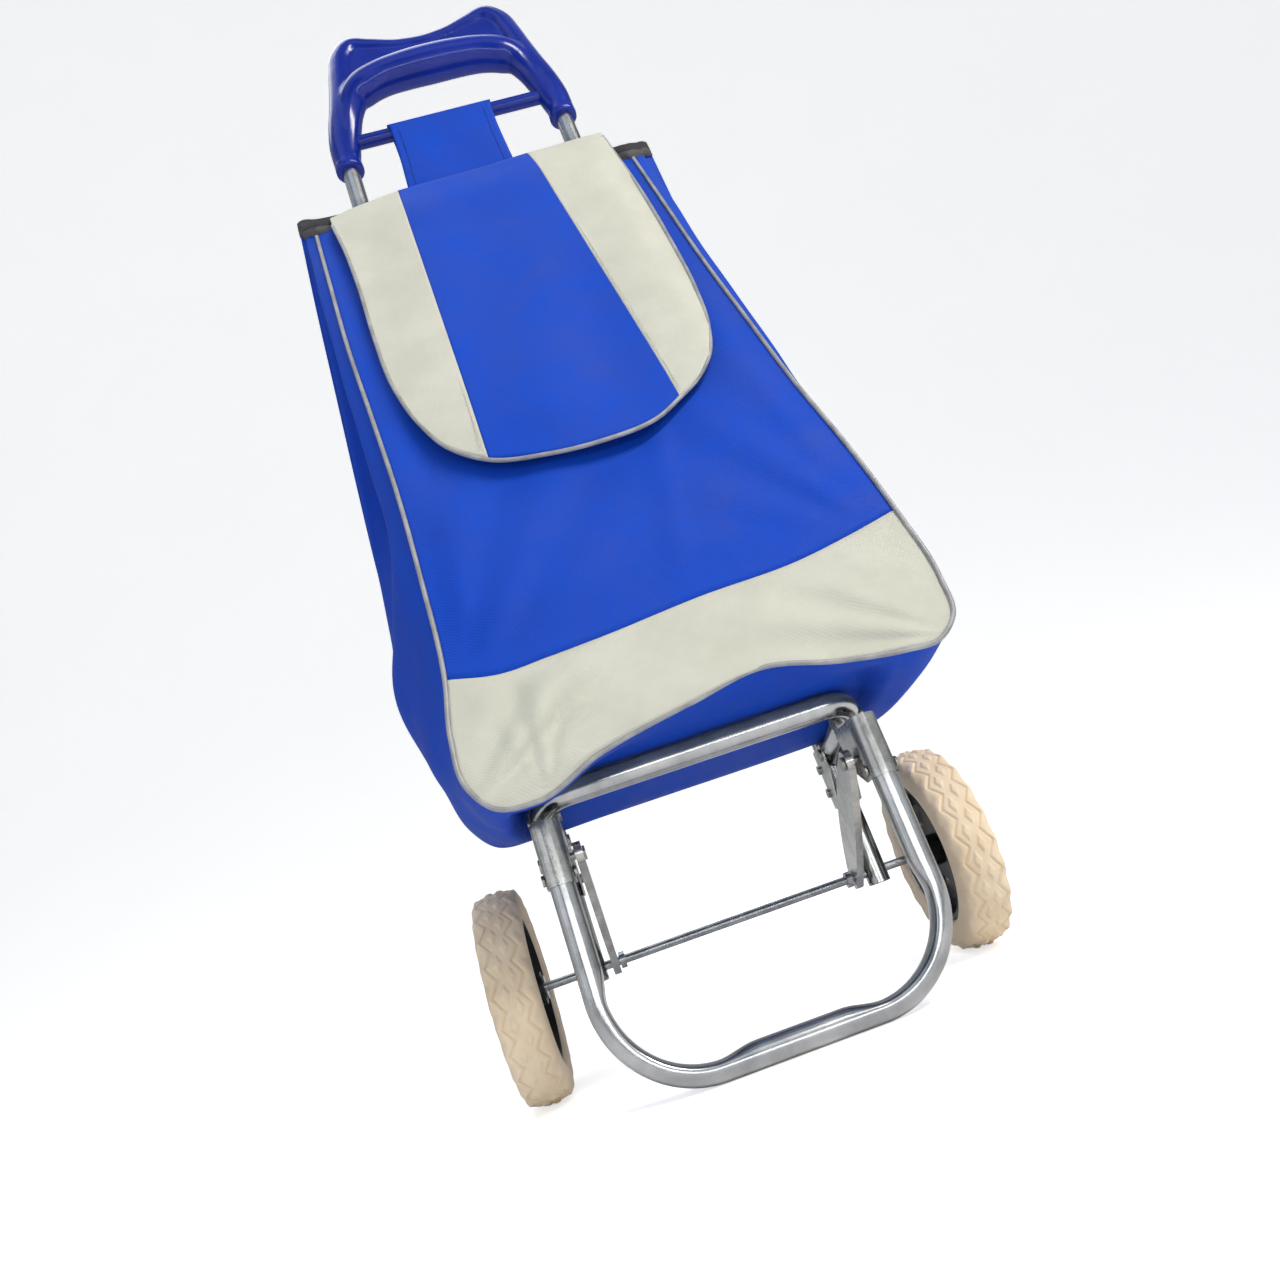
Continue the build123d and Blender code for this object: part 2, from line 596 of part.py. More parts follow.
FACE_RISE = BAG_TOP_Z - BAG_FRONT_Z
FACE_RUN = BAG_BACK - BAG_TOP_DEPTH - BAG_FRONT_Y
FACE_LENGTH = hypot(FACE_RISE, FACE_RUN)
face_plane = stood(Plane(
    (0, BAG_FRONT_Y, BAG_FRONT_Z), x_dir=(1, 0, 0),
    z_dir=(0, -FACE_RISE / FACE_LENGTH, FACE_RUN / FACE_LENGTH)))
PIPING_LIFT = 0.2           # clear of the panel it edges
PIPING_FOOT = 6.0           # up the panel from its foot
PIPING_HEAD = 2.0           # down the panel from the mouth
with BuildPart() as bag_piping:
    for inset, mode in ((0, Mode.ADD), (PIPING, Mode.SUBTRACT)):
        head, foot = FACE_LENGTH - PIPING_HEAD - inset, PIPING_FOOT + inset
        top_half, foot_half = PANEL_TOP_HALF - inset, PANEL_FOOT_HALF - inset
        with BuildSketch(face_plane.offset(PIPING_LIFT)):
            with BuildLine():
                FilletPolyline(
                    (-top_half, head), (-foot_half, foot), (foot_half, foot), (top_half, head),
                    radius=PANEL_CORNER - inset)
                Line((-top_half, head), (top_half, head))
            make_face()
        extrude(amount=PIPING, mode=mode)
save(bag_piping, "bag_piping")

# ---- strap over the crossbar, and loops round the uprights --------------------------------
STRAP_FOOT_Z = 690.0
STRAP_IN = CROSSBAR / 2 + GAP
with BuildPart() as hang_strap:
    with BuildSketch(side(-STRAP_HALF)):
        for radius, mode in ((STRAP_IN + CLOTH, Mode.ADD), (STRAP_IN, Mode.SUBTRACT)):
            with Locations((0, CROSSBAR_Z)):
                Circle(radius, mode=mode)
            with Locations((0, (CROSSBAR_Z + STRAP_FOOT_Z) / 2)):
                Rectangle(2 * radius, CROSSBAR_Z - STRAP_FOOT_Z, mode=mode)
    extrude(amount=2 * STRAP_HALF)
save(hang_strap, "hang_strap")

LOOP_Z = (150.0, 600.0)
LOOP_HEIGHT = 34.0
LOOP_CLOTH = 1.2
with BuildPart() as frame_loops:
    for z in LOOP_Z:
        with BuildSketch(level(z)):
            for hand in HANDS.values():
                with Locations((hand * FRAME_HALF, 0)):
                    Circle(TUBE_R + GAP + LOOP_CLOTH)
                    Circle(TUBE_R + GAP, mode=Mode.SUBTRACT)
        extrude(amount=LOOP_HEIGHT)
save(frame_loops, "frame_loops")

# ---- flap ---------------------------------------------------------------------------------
flap_tip_y = BAG_BACK - BAG_TOP_DEPTH - FLAP_CLEAR - (BAG_TOP_Z - FLAP_TIP_Z) * FACE_SLOPE
FLAP_LENGTH = hypot(flap_tip_y - FLAP_KINK_Y, FLAP_KINK_Z - FLAP_TIP_Z)
flap_out = Vector(0, -(FLAP_KINK_Z - FLAP_TIP_Z), FLAP_KINK_Y - flap_tip_y) / FLAP_LENGTH
flap_plane = stood(Plane((0, FLAP_KINK_Y, FLAP_KINK_Z), x_dir=(1, 0, 0), z_dir=flap_out))
FLAP_CLOTH = 2.0
FLAP_TIP_HALF = 118.0
FLAP_PIPING = 3.0           # how far the flap's piping stands off the cloth
FLAP_PIPING_HEAD = 6.0      # below the kink at the top of the flap


def flap_outline(plane, inset, top):
    """The flap seen square on: a straight top, slightly drawn-in sides and a rounded tip."""
    with BuildSketch(plane) as outline:
        with BuildLine():
            FilletPolyline(
                (-FLAP_HALF + inset, top), (-FLAP_TIP_HALF + inset, -FLAP_LENGTH + inset),
                (FLAP_TIP_HALF - inset, -FLAP_LENGTH + inset), (FLAP_HALF - inset, top),
                radius=FLAP_CORNER - inset)
            Line((-FLAP_HALF + inset, top), (FLAP_HALF - inset, top))
        make_face()
    return outline.sketch


with BuildPart() as flap:
    extrude(flap_outline(flap_plane, 0, 0), amount=FLAP_CLOTH, dir=flap_plane.z_dir)
    with BuildSketch(side(-FLAP_HALF)):
        with BuildLine():
            Polyline(
                (FLAP_HINGE_Y, FLAP_HINGE_Z + FLAP_CLOTH / 2), (FLAP_HINGE_Y, FLAP_HINGE_Z - FLAP_CLOTH / 2),
                (FLAP_KINK_Y, FLAP_KINK_Z - FLAP_CLOTH / 2), (FLAP_KINK_Y - FLAP_CLOTH, FLAP_KINK_Z),
                (FLAP_KINK_Y, FLAP_KINK_Z + FLAP_CLOTH / 2), close=True)
        make_face()
    extrude(amount=2 * FLAP_HALF)
save(flap, "flap")

with BuildPart() as flap_piping:
    for inset, mode in ((0, Mode.ADD), (PIPING, Mode.SUBTRACT)):
        band = flap_outline(flap_plane.offset(FLAP_CLOTH + 0.1), inset, -FLAP_PIPING_HEAD)
        extrude(band, amount=FLAP_PIPING, dir=flap_plane.z_dir, mode=mode)
    with BuildSketch(flap_plane.offset(FLAP_CLOTH)):
        with Locations((0, -FLAP_PIPING_HEAD)):
            Rectangle(2 * FLAP_HALF - 2 * PIPING - 1, 2 * PIPING)
    extrude(amount=2 * FLAP_PIPING, mode=Mode.SUBTRACT)
save(flap_piping, "flap_piping")
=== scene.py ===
# %% [markdown]
# # A folding shopping trolley with a cloth bag
#
# This lesson dresses a finished CAD model of a two-wheeled shopping trolley. The CAD part gives
# every hard size and every joint. Blender adds what CAD can't: cloth that sags, a moulded handle
# that flows from one shape into the next, treads, and the finish of each material.
#
# All our pieces are then placed in the same frame, in metres.

# %% Load the frame
import bpy
import json
import numpy as np
from mathutils import Matrix


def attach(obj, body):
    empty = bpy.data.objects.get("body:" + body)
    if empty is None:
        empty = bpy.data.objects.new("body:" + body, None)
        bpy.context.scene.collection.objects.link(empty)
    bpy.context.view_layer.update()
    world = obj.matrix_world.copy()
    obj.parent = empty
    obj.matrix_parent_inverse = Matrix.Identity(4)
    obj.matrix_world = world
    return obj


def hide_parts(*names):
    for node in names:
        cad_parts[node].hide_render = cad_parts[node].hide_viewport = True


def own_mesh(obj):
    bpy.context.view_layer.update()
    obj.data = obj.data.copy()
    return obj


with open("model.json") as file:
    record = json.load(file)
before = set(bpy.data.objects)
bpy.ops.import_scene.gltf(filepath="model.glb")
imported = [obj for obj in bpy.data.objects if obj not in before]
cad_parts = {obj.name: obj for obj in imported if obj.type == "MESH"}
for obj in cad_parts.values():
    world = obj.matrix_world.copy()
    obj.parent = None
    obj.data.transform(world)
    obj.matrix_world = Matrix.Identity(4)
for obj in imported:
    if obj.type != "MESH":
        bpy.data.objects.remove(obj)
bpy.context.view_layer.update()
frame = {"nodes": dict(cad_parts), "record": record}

# %% [markdown]
# ## One set of axes for drawing
#
# The trolley leans back on its wheels, which makes every coordinate awkward. We could model in the
# leaning frame and guess at each slope. It is easier to draw in the cart's own upright axes, in
# millimetres, with the origin in the middle of the axle, and to turn every point at the very end.

# %% Cart axes to the standing frame
LEAN = np.radians(7.5)
STAND = np.array([0.0, 9.17, 72.0])
TURN = np.array([[1, 0, 0], [0, np.cos(LEAN), np.sin(LEAN)], [0, -np.sin(LEAN), np.cos(LEAN)]])


def place(points):
    """Cart millimetres to standing metres: turn by the lean about the axle, then lift by the wheel."""
    return (np.asarray(points, float) @ TURN.T + STAND) / 1000


print("axle stands at", place([0, 0, 0]).round(4))

# %% [markdown]
# ## Curves through measured points
#
# A sewn edge is one smooth line. A Bezier curve object would need handles for every point. Here
# each edge is a plain list of places that it passes through, and a cubic fills in between them.
# The tangent at each place leans towards the nearer neighbour, so that short and long gaps can mix.

# %% Smooth curves
def through(points, per=14):
    """A curve through the points: a cubic on each gap, whose end slopes average the two gaps there."""
    p = np.asarray(points, float)
    gap = np.linalg.norm(np.diff(p, axis=0), axis=1)[:, None]
    slope = np.diff(p, axis=0) / gap
    middle = (slope[:-1] * gap[1:] + slope[1:] * gap[:-1]) / (gap[:-1] + gap[1:])
    tangent = np.vstack([slope[:1], middle, slope[-1:]])
    t = np.linspace(0, 1, per, endpoint=False)[None, :, None]
    start, end = p[:-1, None], p[1:, None]
    leave, arrive = (tangent[:-1] * gap)[:, None], (tangent[1:] * gap)[:, None]
    filled = ((2 * t**3 - 3 * t**2 + 1) * start + (t**3 - 2 * t**2 + t) * leave
              + (3 * t**2 - 2 * t**3) * end + (t**3 - t**2) * arrive)
    return np.vstack([filled.reshape(-1, 3), p[-1:]])


def smooth(x, low, high):
    """Zero below low, one above high, and an S between them."""
    t = np.clip((np.asarray(x, float) - low) / (high - low), 0, 1)
    return t * t * (3 - 2 * t)


print("a curve through 3 points has", len(through([(0, 0, 0), (1, 1, 0), (2, 0, 0)])), "points")

# %% [markdown]
# ## From arrays to meshes
#
# Every soft or moulded piece below is a grid of points: one direction runs along the piece, the
# other across it. Editing by hand would be quicker for one shape, but a grid written as a formula
# can be refined or changed without starting again. These helpers turn grids into closed meshes.

# %% Mesh helpers
def quads(rows, columns, wrap):
    """The faces of a grid, row by row; wrap joins the last column to the first."""
    i, j = np.meshgrid(np.arange(rows - 1), np.arange(columns if wrap else columns - 1), indexing="ij")
    k = (j + 1) % columns
    near, far = i * columns, (i + 1) * columns
    return np.stack([near + j, near + k, far + k, far + j], -1).reshape(-1, 4)


def put(name, points, faces, materials, pick=None, smooth_faces=True):
    """A mesh object from cart points and faces; pick is the number of each face's material."""
    mesh = bpy.data.meshes.new(name)
    mesh.from_pydata(place(points).tolist(), [], [list(map(int, f)) for f in faces])
    for finish in materials:
        mesh.materials.append(finish)
    if pick is not None:
        mesh.polygons.foreach_set("material_index", np.asarray(pick, np.int32))
    mesh.polygons.foreach_set("use_smooth", np.full(len(mesh.polygons), smooth_faces))
    mesh.update()
    piece = bpy.data.objects.new(name, mesh)
    bpy.context.scene.collection.objects.link(piece)
    return piece


def cloth(name, grid, finish, thick=1.1):
    """A sheet of cloth: the grid's surface, given its thickness by a Solidify modifier."""
    rows, columns = grid.shape[:2]
    piece = put(name, grid.reshape(-1, 3), quads(rows, columns, False), [finish])
    shell = piece.modifiers.new("thickness", "SOLIDIFY")
    shell.thickness = thick / 1000
    shell.offset = 0
    return piece


def loft(rings):
    """Points and faces of a closed body through rings of points, with a flat cap at each end."""
    rows, columns = rings.shape[:2]
    sides = quads(rows, columns, True).tolist()
    first, last = list(range(columns)), list(range((rows - 1) * columns, rows * columns))
    return rings.reshape(-1, 3), sides + [first[::-1], last]


def tube_rings(path, radius, sides=28, flat=1.0, square_to=(0, 1, 0)):
    """Rings round a path: a circle of the given radius at each point, scaled by flat along square_to."""
    ahead = np.gradient(path, axis=0)
    ahead /= np.linalg.norm(ahead, axis=1)[:, None]
    across = np.cross(ahead, np.asarray(square_to, float))
    across /= np.linalg.norm(across, axis=1)[:, None]
    up = np.cross(across, ahead)
    angle = np.linspace(0, 2 * np.pi, sides, endpoint=False)
    size = np.broadcast_to(np.asarray(radius, float), (len(path),))[:, None, None]
    squeeze = np.broadcast_to(np.asarray(flat, float), (len(path),))[:, None, None]
    return (path[:, None] + size * np.cos(angle)[None, :, None] * across[:, None]
            + size * squeeze * np.sin(angle)[None, :, None] * up[:, None])


def fill(top, bottom, left, right):
    """A surface with four given edges: one ruled each way, added, less the one through the corners."""
    v = np.linspace(0, 1, len(left))[:, None, None]
    u = np.linspace(0, 1, len(top))[None, :, None]
    head = (1 - u) * top[0] + u * top[-1]
    foot = (1 - u) * bottom[0] + u * bottom[-1]
    corners = (1 - v) * head + v * foot
    return (1 - v) * top[None] + v * bottom[None] + (1 - u) * left[:, None] + u * right[:, None] - corners


print("a 3 by 4 grid has", len(quads(3, 4, False)), "faces")

# %% [markdown]
# ## A small language for materials
#
# A shader is a set of boxes joined by wires. In the editor they are placed by hand. In a script one
# helper is enough: it makes any box, sets its values, and joins it to whatever sockets it is given.
# All the finishes share one recipe: two close colours mixed by soft noise, since no real surface is
# one flat colour, with a fine grain in real millimetres that tilts the light.

# %% Material helpers
def colour(code):
    """A linear colour from an sRGB hex code."""
    part = np.array([int(code[i:i + 2], 16) for i in (1, 3, 5)]) / 255
    linear = np.where(part <= 0.04045, part / 12.92, ((part + 0.055) / 1.055) ** 2.4)
    return (*linear.tolist(), 1.0)


def add(tree, kind, inputs=None, **settings):
    """A shader node with its settings; an input is a value, or a socket to be joined to it."""
    made = tree.nodes.new(kind)
    for key, value in settings.items():
        setattr(made, key, value)
    for key, value in (inputs or {}).items():
        if isinstance(value, bpy.types.NodeSocket):
            tree.links.new(value, made.inputs[key])
        else:
            made.inputs[key].default_value = value
    return made


def mix(tree, factor, first, second):
    """A colour between two colours; sockets 6, 7 and 2 are a Mix node's colour inputs and result."""
    return add(tree, "ShaderNodeMix", {0: factor, 6: first, 7: second}, data_type="RGBA").outputs[2]


def grain_height(tree, where, grain, size):
    """The height of a surface's fine grain: two crossed sets of threads, drawn lines, or pebbles."""
    if grain == "weave":
        warp = add(tree, "ShaderNodeTexWave", {"Vector": where, "Scale": 314 / size, "Distortion": 0.6},
                   bands_direction="DIAGONAL")
        weft = add(tree, "ShaderNodeTexWave", {"Vector": where, "Scale": 520 / size, "Distortion": 0.4},
                   bands_direction="X")
        return add(tree, "ShaderNodeMath", {0: warp.outputs["Fac"], 1: weft.outputs["Fac"]}).outputs[0]
    stretch = (1, 1, 0.04) if grain == "drawn" else (1, 1, 1)
    mapped = add(tree, "ShaderNodeMapping", {"Vector": where, "Scale": stretch})
    settings = {"Vector": mapped.outputs[0], "Scale": 1000 / size, "Detail": 3.0}
    return add(tree, "ShaderNodeTexNoise", settings).outputs["Fac"]


def finish(name, light, dark, mottle, rough, metal=0.0, grain="pebble", size=1.0, height=0.02,
           coat=0.0, specular=0.5, painted_reflection=None):
    """A material: two colours mixed by noise of mottle mm, and a grain of size mm that is height mm deep.

    Mirror rays see a cloth that is given a reflection colour mostly in that colour instead of its own: a
    painted reflection.
    """
    made = bpy.data.materials.new(name)
    made.use_nodes = True
    tree = made.node_tree
    tree.nodes.clear()
    where = add(tree, "ShaderNodeTexCoord").outputs["Object"]
    settings = {"Vector": where, "Scale": 1000 / mottle, "Detail": 5.0, "Roughness": 0.6}
    cloud = add(tree, "ShaderNodeTexNoise", settings).outputs["Fac"]
    spread = add(tree, "ShaderNodeMapRange", {"Value": cloud, "From Min": 0.35, "From Max": 0.65})
    tint = mix(tree, spread.outputs["Result"], colour(dark), colour(light))
    if painted_reflection:
        # Painted reflection: mirror rays see the cloth mostly in the given grey.
        ray = add(tree, "ShaderNodeLightPath").outputs["Is Glossy Ray"]
        part = add(tree, "ShaderNodeMath", {0: ray, 1: 0.85}, operation="MULTIPLY").outputs[0]
        tint = mix(tree, part, tint, colour(painted_reflection))
    worn = add(tree, "ShaderNodeMapRange", {"Value": cloud, "From Min": 0.3, "From Max": 0.7,
                                            "To Min": rough * 0.85, "To Max": min(1.0, rough * 1.2)})
    fine = grain_height(tree, where, grain, size)
    bump = add(tree, "ShaderNodeBump", {"Height": fine, "Strength": 0.6, "Distance": height / 1000})
    body = add(tree, "ShaderNodeBsdfPrincipled", {
        "Base Color": tint, "Roughness": worn.outputs["Result"], "Metallic": metal,
        "Normal": bump.outputs["Normal"], "Specular IOR Level": specular, "Coat Weight": coat,
        "Coat Roughness": 0.06})
    add(tree, "ShaderNodeOutputMaterial", {"Surface": body.outputs["BSDF"]})
    return made


print("white is", colour("#FFFFFF"))

# %% [markdown]
# ## The finishes
#
# The frame is thin steel tube under a bright plated coat that has gone a little cloudy. The bag is
# woven polyester with a plastic backing, the tyres are foam, and the handle is a glossy moulding.
# Each finish is named for what it is, so that a reader can find and swap it.

# %% Make the finishes
LOOKS = {
    # Bright nickel-chrome plate on drawn tube, faintly clouded.
    "plated_tube": finish("Plated steel tube", "#C6C8C9", "#A2A5A7", 30, 0.22, metal=1, grain="drawn",
                          size=0.8, height=0.015),
    # The same plate on stamped sheet, which keeps a softer shine.
    "plated_sheet": finish("Plated steel sheet", "#CBCBC8", "#A5A5A2", 16, 0.26, metal=1, size=1.4,
                           height=0.03),
    # Zinc plated rod for the axle.
    "steel_rod": finish("Zinc plated rod", "#AEB2B4", "#8B8F92", 12, 0.27, metal=1, grain="drawn", size=0.6),
    # Zinc plated pins, rivets and screws.
    "pin_steel": finish("Pin steel", "#B4B3AE", "#8C8B87", 4, 0.3, metal=1, size=0.7, height=0.03),
    # Closed-cell foam, cream, soiled where it has rolled.
    "cream_tyre": finish("Cream foam tyre", "#F0DFC4", "#E5D1B2", 26, 0.76, size=1.1, height=0.05),
    # Black polypropylene wheel centre.
    "black_rim": finish("Black moulded wheel", "#17181A", "#0E0F10", 18, 0.42, size=0.8, height=0.02),
    # Dark blue glossy plastic of the handle and its crossbar.
    "blue_moulding": finish("Blue glossy moulding", "#052795", "#032083", 60, 0.2, size=5.0, coat=0.1,
                            specular=0.35),
    # Royal blue woven polyester with a plastic backing. Its reflection in the plate is painted grey.
    "blue_cloth": finish("Royal blue woven polyester", "#0045C0", "#003FB4", 45, 0.66, grain="weave",
                         size=1.5, height=0.12, specular=0.25, painted_reflection="#6F7D92"),
    # Warm grey-beige woven polyester of the stripes and the band.
    "beige_cloth": finish("Grey beige woven polyester", "#CED0C5", "#C5C7BB", 38, 0.8, grain="weave",
                          size=1.5, height=0.14, specular=0.3),
    # Smooth grey plastic piping cord.
    "grey_piping": finish("Grey piping", "#A6A8AB", "#85878B", 14, 0.34, size=2.0, height=0.03),
    # Dark grey woven tape.
    "dark_binding": finish("Dark grey binding tape", "#56565A", "#434347", 9, 0.75, grain="weave", size=1.2,
                           height=0.1),
    # Brown hardboard in the bottom of the bag.
    "board": finish("Hardboard", "#7A5635", "#65452A", 12, 0.8, size=0.6, height=0.03),
}
BLACK_TAPE = finish("Black inner tape", "#1C1C1F", "#121214", 8, 0.7, grain="weave", size=1.2, height=0.1)
BLUE_THREAD = finish("Blue sewing thread", "#08389E", "#052C85", 5, 0.6, size=0.4, height=0.02)
print(len(LOOKS), "finishes")

# %% [markdown]
# ## Paint the CAD parts that stay
#
# Tube ends, brackets, pins, axle and wheel centres are right as CAD made them. They only need their
# finish. The record already says which finish each node has, so a loop can paint them all.

# %% Paint the CAD nodes
slot_of = {part["node"]: part["material_slot"] for part in frame["record"]["subparts"]}
for node, solid in frame["nodes"].items():
    solid.data.materials.clear()
    solid.data.materials.append(LOOKS[slot_of[node]])
print("painted", len(slot_of), "nodes")


def finish_piece(piece, look, body, *nodes):
    """Attaches a piece to its body and hides the CAD nodes that it stands for; the look is not used."""
    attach(piece, body)
    if nodes:
        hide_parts(*nodes)
    return piece


# %% [markdown]
# ## The edges of the bag
#
# The bag is sewn from a front panel, a long gusset that runs down one side, under the foot and up
# the other side, and a back panel. Two edges say almost everything about its shape: the piped edge
# of the front panel, and the edge of the back panel. A cloth simulation could find the sag, but it
# would be slow and hard to steer, so the sag is drawn into these two lines: the empty bag leans to
# one side, its front corners hang down past the platform, and its foot is lifted by the front bar.

# %% Front and back edges
LEFT_EDGE = [
    (-147, -40, 657), (-145.5, -58, 580), (-143.5, -78, 495), (-138.5, -98, 410), (-134.5, -116, 335),
    (-133.3, -134, 258), (-134.5, -152.5, 179), (-139.5, -162.5, 139), (-137.5, -170, 107), (-124, -174, 89)]
FOOT_EDGE = [
    (-101, -173.5, 86), (-62, -170.5, 101), (0, -168.5, 114), (44, -168, 121), (92, -169.5, 109),
    (127.5, -171, 103)]
RIGHT_EDGE = [
    (137, -41, 650), (140, -59, 578), (144.5, -79, 490), (150.5, -98, 410), (157, -117, 330),
    (165.5, -133, 262), (170.5, -147.5, 200), (171.6, -161, 142), (165.4, -168, 115), (149, -171, 102.5)]
BACK_LEFT = [
    (-164, -11.5, 689), (-168, -11.5, 600), (-171, -11.5, 510), (-174, -11.5, 420), (-176, -11.5, 340),
    (-176, -11.5, 262), (-174.5, -11.5, 190), (-169, -12, 148), (-160, -12, 118), (-146, -12, 101)]
BACK_FOOT = [(-112, -12, 97), (-66, -12, 97), (0, -12, 97), (44, -12, 97), (92, -12, 97.5), (130, -12, 99)]
BACK_RIGHT = [
    (166, -11.5, 678), (168, -11.5, 590), (172, -11.5, 500), (176, -11.5, 415), (178, -11.5, 335),
    (178, -11.5, 262), (176, -11.5, 200), (173, -12, 145), (166, -12, 115), (152, -12, 102)]
PER = 14
front_edge = through(LEFT_EDGE + FOOT_EDGE + RIGHT_EDGE[::-1], PER)
back_edge = through(BACK_LEFT + BACK_FOOT + BACK_RIGHT[::-1], PER)
print("edge of", len(front_edge), "points")

# %% [markdown]
# ## Folds
#
# Cloth that has been packed flat keeps soft creases, and an empty bag pulls into drag lines that fan
# out from its lower corners. Sculpting them is possible. Here they are sums of a few waves, each
# with its own direction and reach, so that every panel can borrow the same idea.

# %% Fold functions
def fan(x, z, centre, angle, spread, count, reach):
    """Ridges that fan out from a centre: a wave across the angle, inside its spread, fading over reach."""
    dx, dz = x - centre[0], z - centre[1]
    turn = np.arctan2(dz, dx) - np.radians(angle)
    away = np.hypot(dx, dz)
    inside = np.exp(-(turn / np.radians(spread)) ** 2) * np.exp(-((away - reach / 2) / (reach / 2)) ** 2)
    return inside * np.cos(turn * count)


def soft_waves(x, z):
    """Gentle unevenness of a hanging panel: three slow waves that never line up."""
    return (0.9 * np.sin(x / 41 + z / 97 + 0.6) + 0.7 * np.sin(x / 23 - z / 61 + 2.1)
            + 0.5 * np.sin(x / 67 + z / 37 + 4.0))


def edge_fade(rows, columns, width=0.12):
    """One inside a grid and zero on its edges, so that neighbouring panels still meet."""
    v = np.linspace(0, 1, rows)[:, None]
    u = np.linspace(0, 1, columns)[None, :]
    return smooth(u, 0, width) * smooth(1 - u, 0, width) * smooth(v, 0, width) * smooth(1 - v, 0, width)


FACE_OUT = np.array([0, -0.973, -0.231])
print("deepest soft wave", round(float(np.abs(soft_waves(np.arange(300.0), 0)).max()), 2), "mm")

# %% [markdown]
# ## The front panel and its band
#
# The front is two cloths: a tall blue panel and, below it, a beige band that is seamed across it.
# Each is a surface stretched over its own four edges. They share the seam, so they meet exactly.

# %% Front panel and band
SEAM = [LEFT_EDGE[6], (-102.6, -156, 171), (-71, -156.5, 172), (-38.7, -156, 174), (28.7, -154.5, 180.5),
        (96.8, -152, 184.5), (134.7, -150, 191.5), RIGHT_EDGE[6]]
MOUTH = [
    LEFT_EDGE[0], (-110, -36, 662), (-60, -34, 666), (-20, -33, 667), (20, -33, 667), (60, -34, 665),
    (105, -37, 658), RIGHT_EDGE[0]]
seam = through(SEAM, PER)
left, right = front_edge[:6 * PER + 1], front_edge[::-1][:6 * PER + 1]
panel = fill(through(MOUTH, PER), seam, left, right)
x, z = panel[..., 0], panel[..., 2]
dip = -5.0 * smooth(z, 560, 380) * smooth(z, 240, 330) * np.exp(-((x + 20) / 90) ** 2)
drags = 2.4 * fan(x, z, (-150, 120), 58, 20, 22, 260) + 1.6 * fan(x, z, (175, 150), 118, 24, 20, 280)
lift = (soft_waves(x, z) * 1.1 + drags
        + 3.0 * np.sin((z - 250) / 24) * np.exp(-((x + 105) / 22) ** 2) * smooth(z, 250, 330)
        + 2.2 * np.exp(-((x - 0.22 * z + 20) / 9) ** 2) * smooth(z, 560, 380) + 6 * smooth(z, 420, 200))
panel = panel + (edge_fade(*x.shape) * (lift + dip))[..., None] * FACE_OUT
bag_panel = cloth("bag_front_panel", panel, LOOKS["blue_cloth"])

low_left, low_right = front_edge[6 * PER:9 * PER + 1], front_edge[::-1][6 * PER:9 * PER + 1]
band = fill(seam, front_edge[9 * PER:16 * PER + 1], low_left, low_right)
x, z = band[..., 0], band[..., 2]
lift = (5.2 * fan(x, z, (-150, 84), 42, 26, 15, 210) + 1.8 * fan(x, z, (-96, 84), 80, 25, 15, 90)
        + 2.4 * fan(x, z, (168, 100), 155, 22, 17, 170) + 0.8 * soft_waves(x * 1.4, z * 1.4) + 2.5)
band = band + (edge_fade(*x.shape, width=0.18) * lift)[..., None] * FACE_OUT
bag_band = cloth("bag_front_band", band, LOOKS["beige_cloth"])
finish_piece(bag_panel, "blue_cloth", "frame", "bag_front")
finish_piece(bag_band, "beige_cloth", "frame")
print("panel", panel.shape[:2], "band", band.shape[:2])

# %% [markdown]
# ## The gusset
#
# One strip joins the two edges. High up it is folded inwards like a bellows, because the bag is
# empty: its rear half lies against the back, and its front half rolls out past the piping before it
# turns in. Lower down it bellies out. Under the foot it lies on the platform's tubes and hangs free
# past them. A simulation could settle such a fold, but it would fall a new way each time. So the
# strip is the straight line between the two edges, plus each of those movements as a formula.

# %% Gusset strip
PLATFORM_TOP = 95.1         # height of the platform tube's top at its hinge
PLATFORM_SLOPE = 0.1405
HINGE_Y = -19
CLOTH_ABOVE = 1.6           # cloth's middle above the tube it lies on
DEEP = 44                   # points from the back edge to the front
share = np.linspace(0, 1, DEEP)[:, None, None]
gusset = back_edge[None] * (1 - share) + front_edge[None] * share
ahead = np.gradient((front_edge + back_edge) / 2, axis=0)
out = np.cross((0, 1, 0), ahead)
out /= np.linalg.norm(out, axis=1)[:, None]
t = share[..., 0]
height = gusset[..., 2]
# The crease is deepest 0.42 of the way forward; the roll stands out just behind the piping.
crease = np.where(t < 0.42, t / 0.42, np.clip((0.80 - t) / 0.38, 0, 1))
crease = smooth(crease, -0.15, 1.1)
roll = np.exp(-(((t - 0.87) / 0.09) ** 2)) * (1 - t) / 0.13
folded = smooth(height, 190, 430)
side_on = np.abs(out[None, :, 0])
belly = 22 * np.sin(np.pi * t ** 0.8) * smooth(height, 110, 240) * (1 - 0.85 * folded)
inward = (30 + 20 * smooth(height, 350, 690)) * crease - 7.5 * roll
pucker = 2.2 * np.sin(height / 26 + 5 * t) + 1.6 * np.sin(height / 15 - 7 * t + 1)
pucker *= np.sin(np.pi * t) * smooth(height, 690, 600)
gusset = gusset + ((belly + pucker * (1 - 0.7 * folded) - folded * inward) * side_on)[..., None] * out[None]
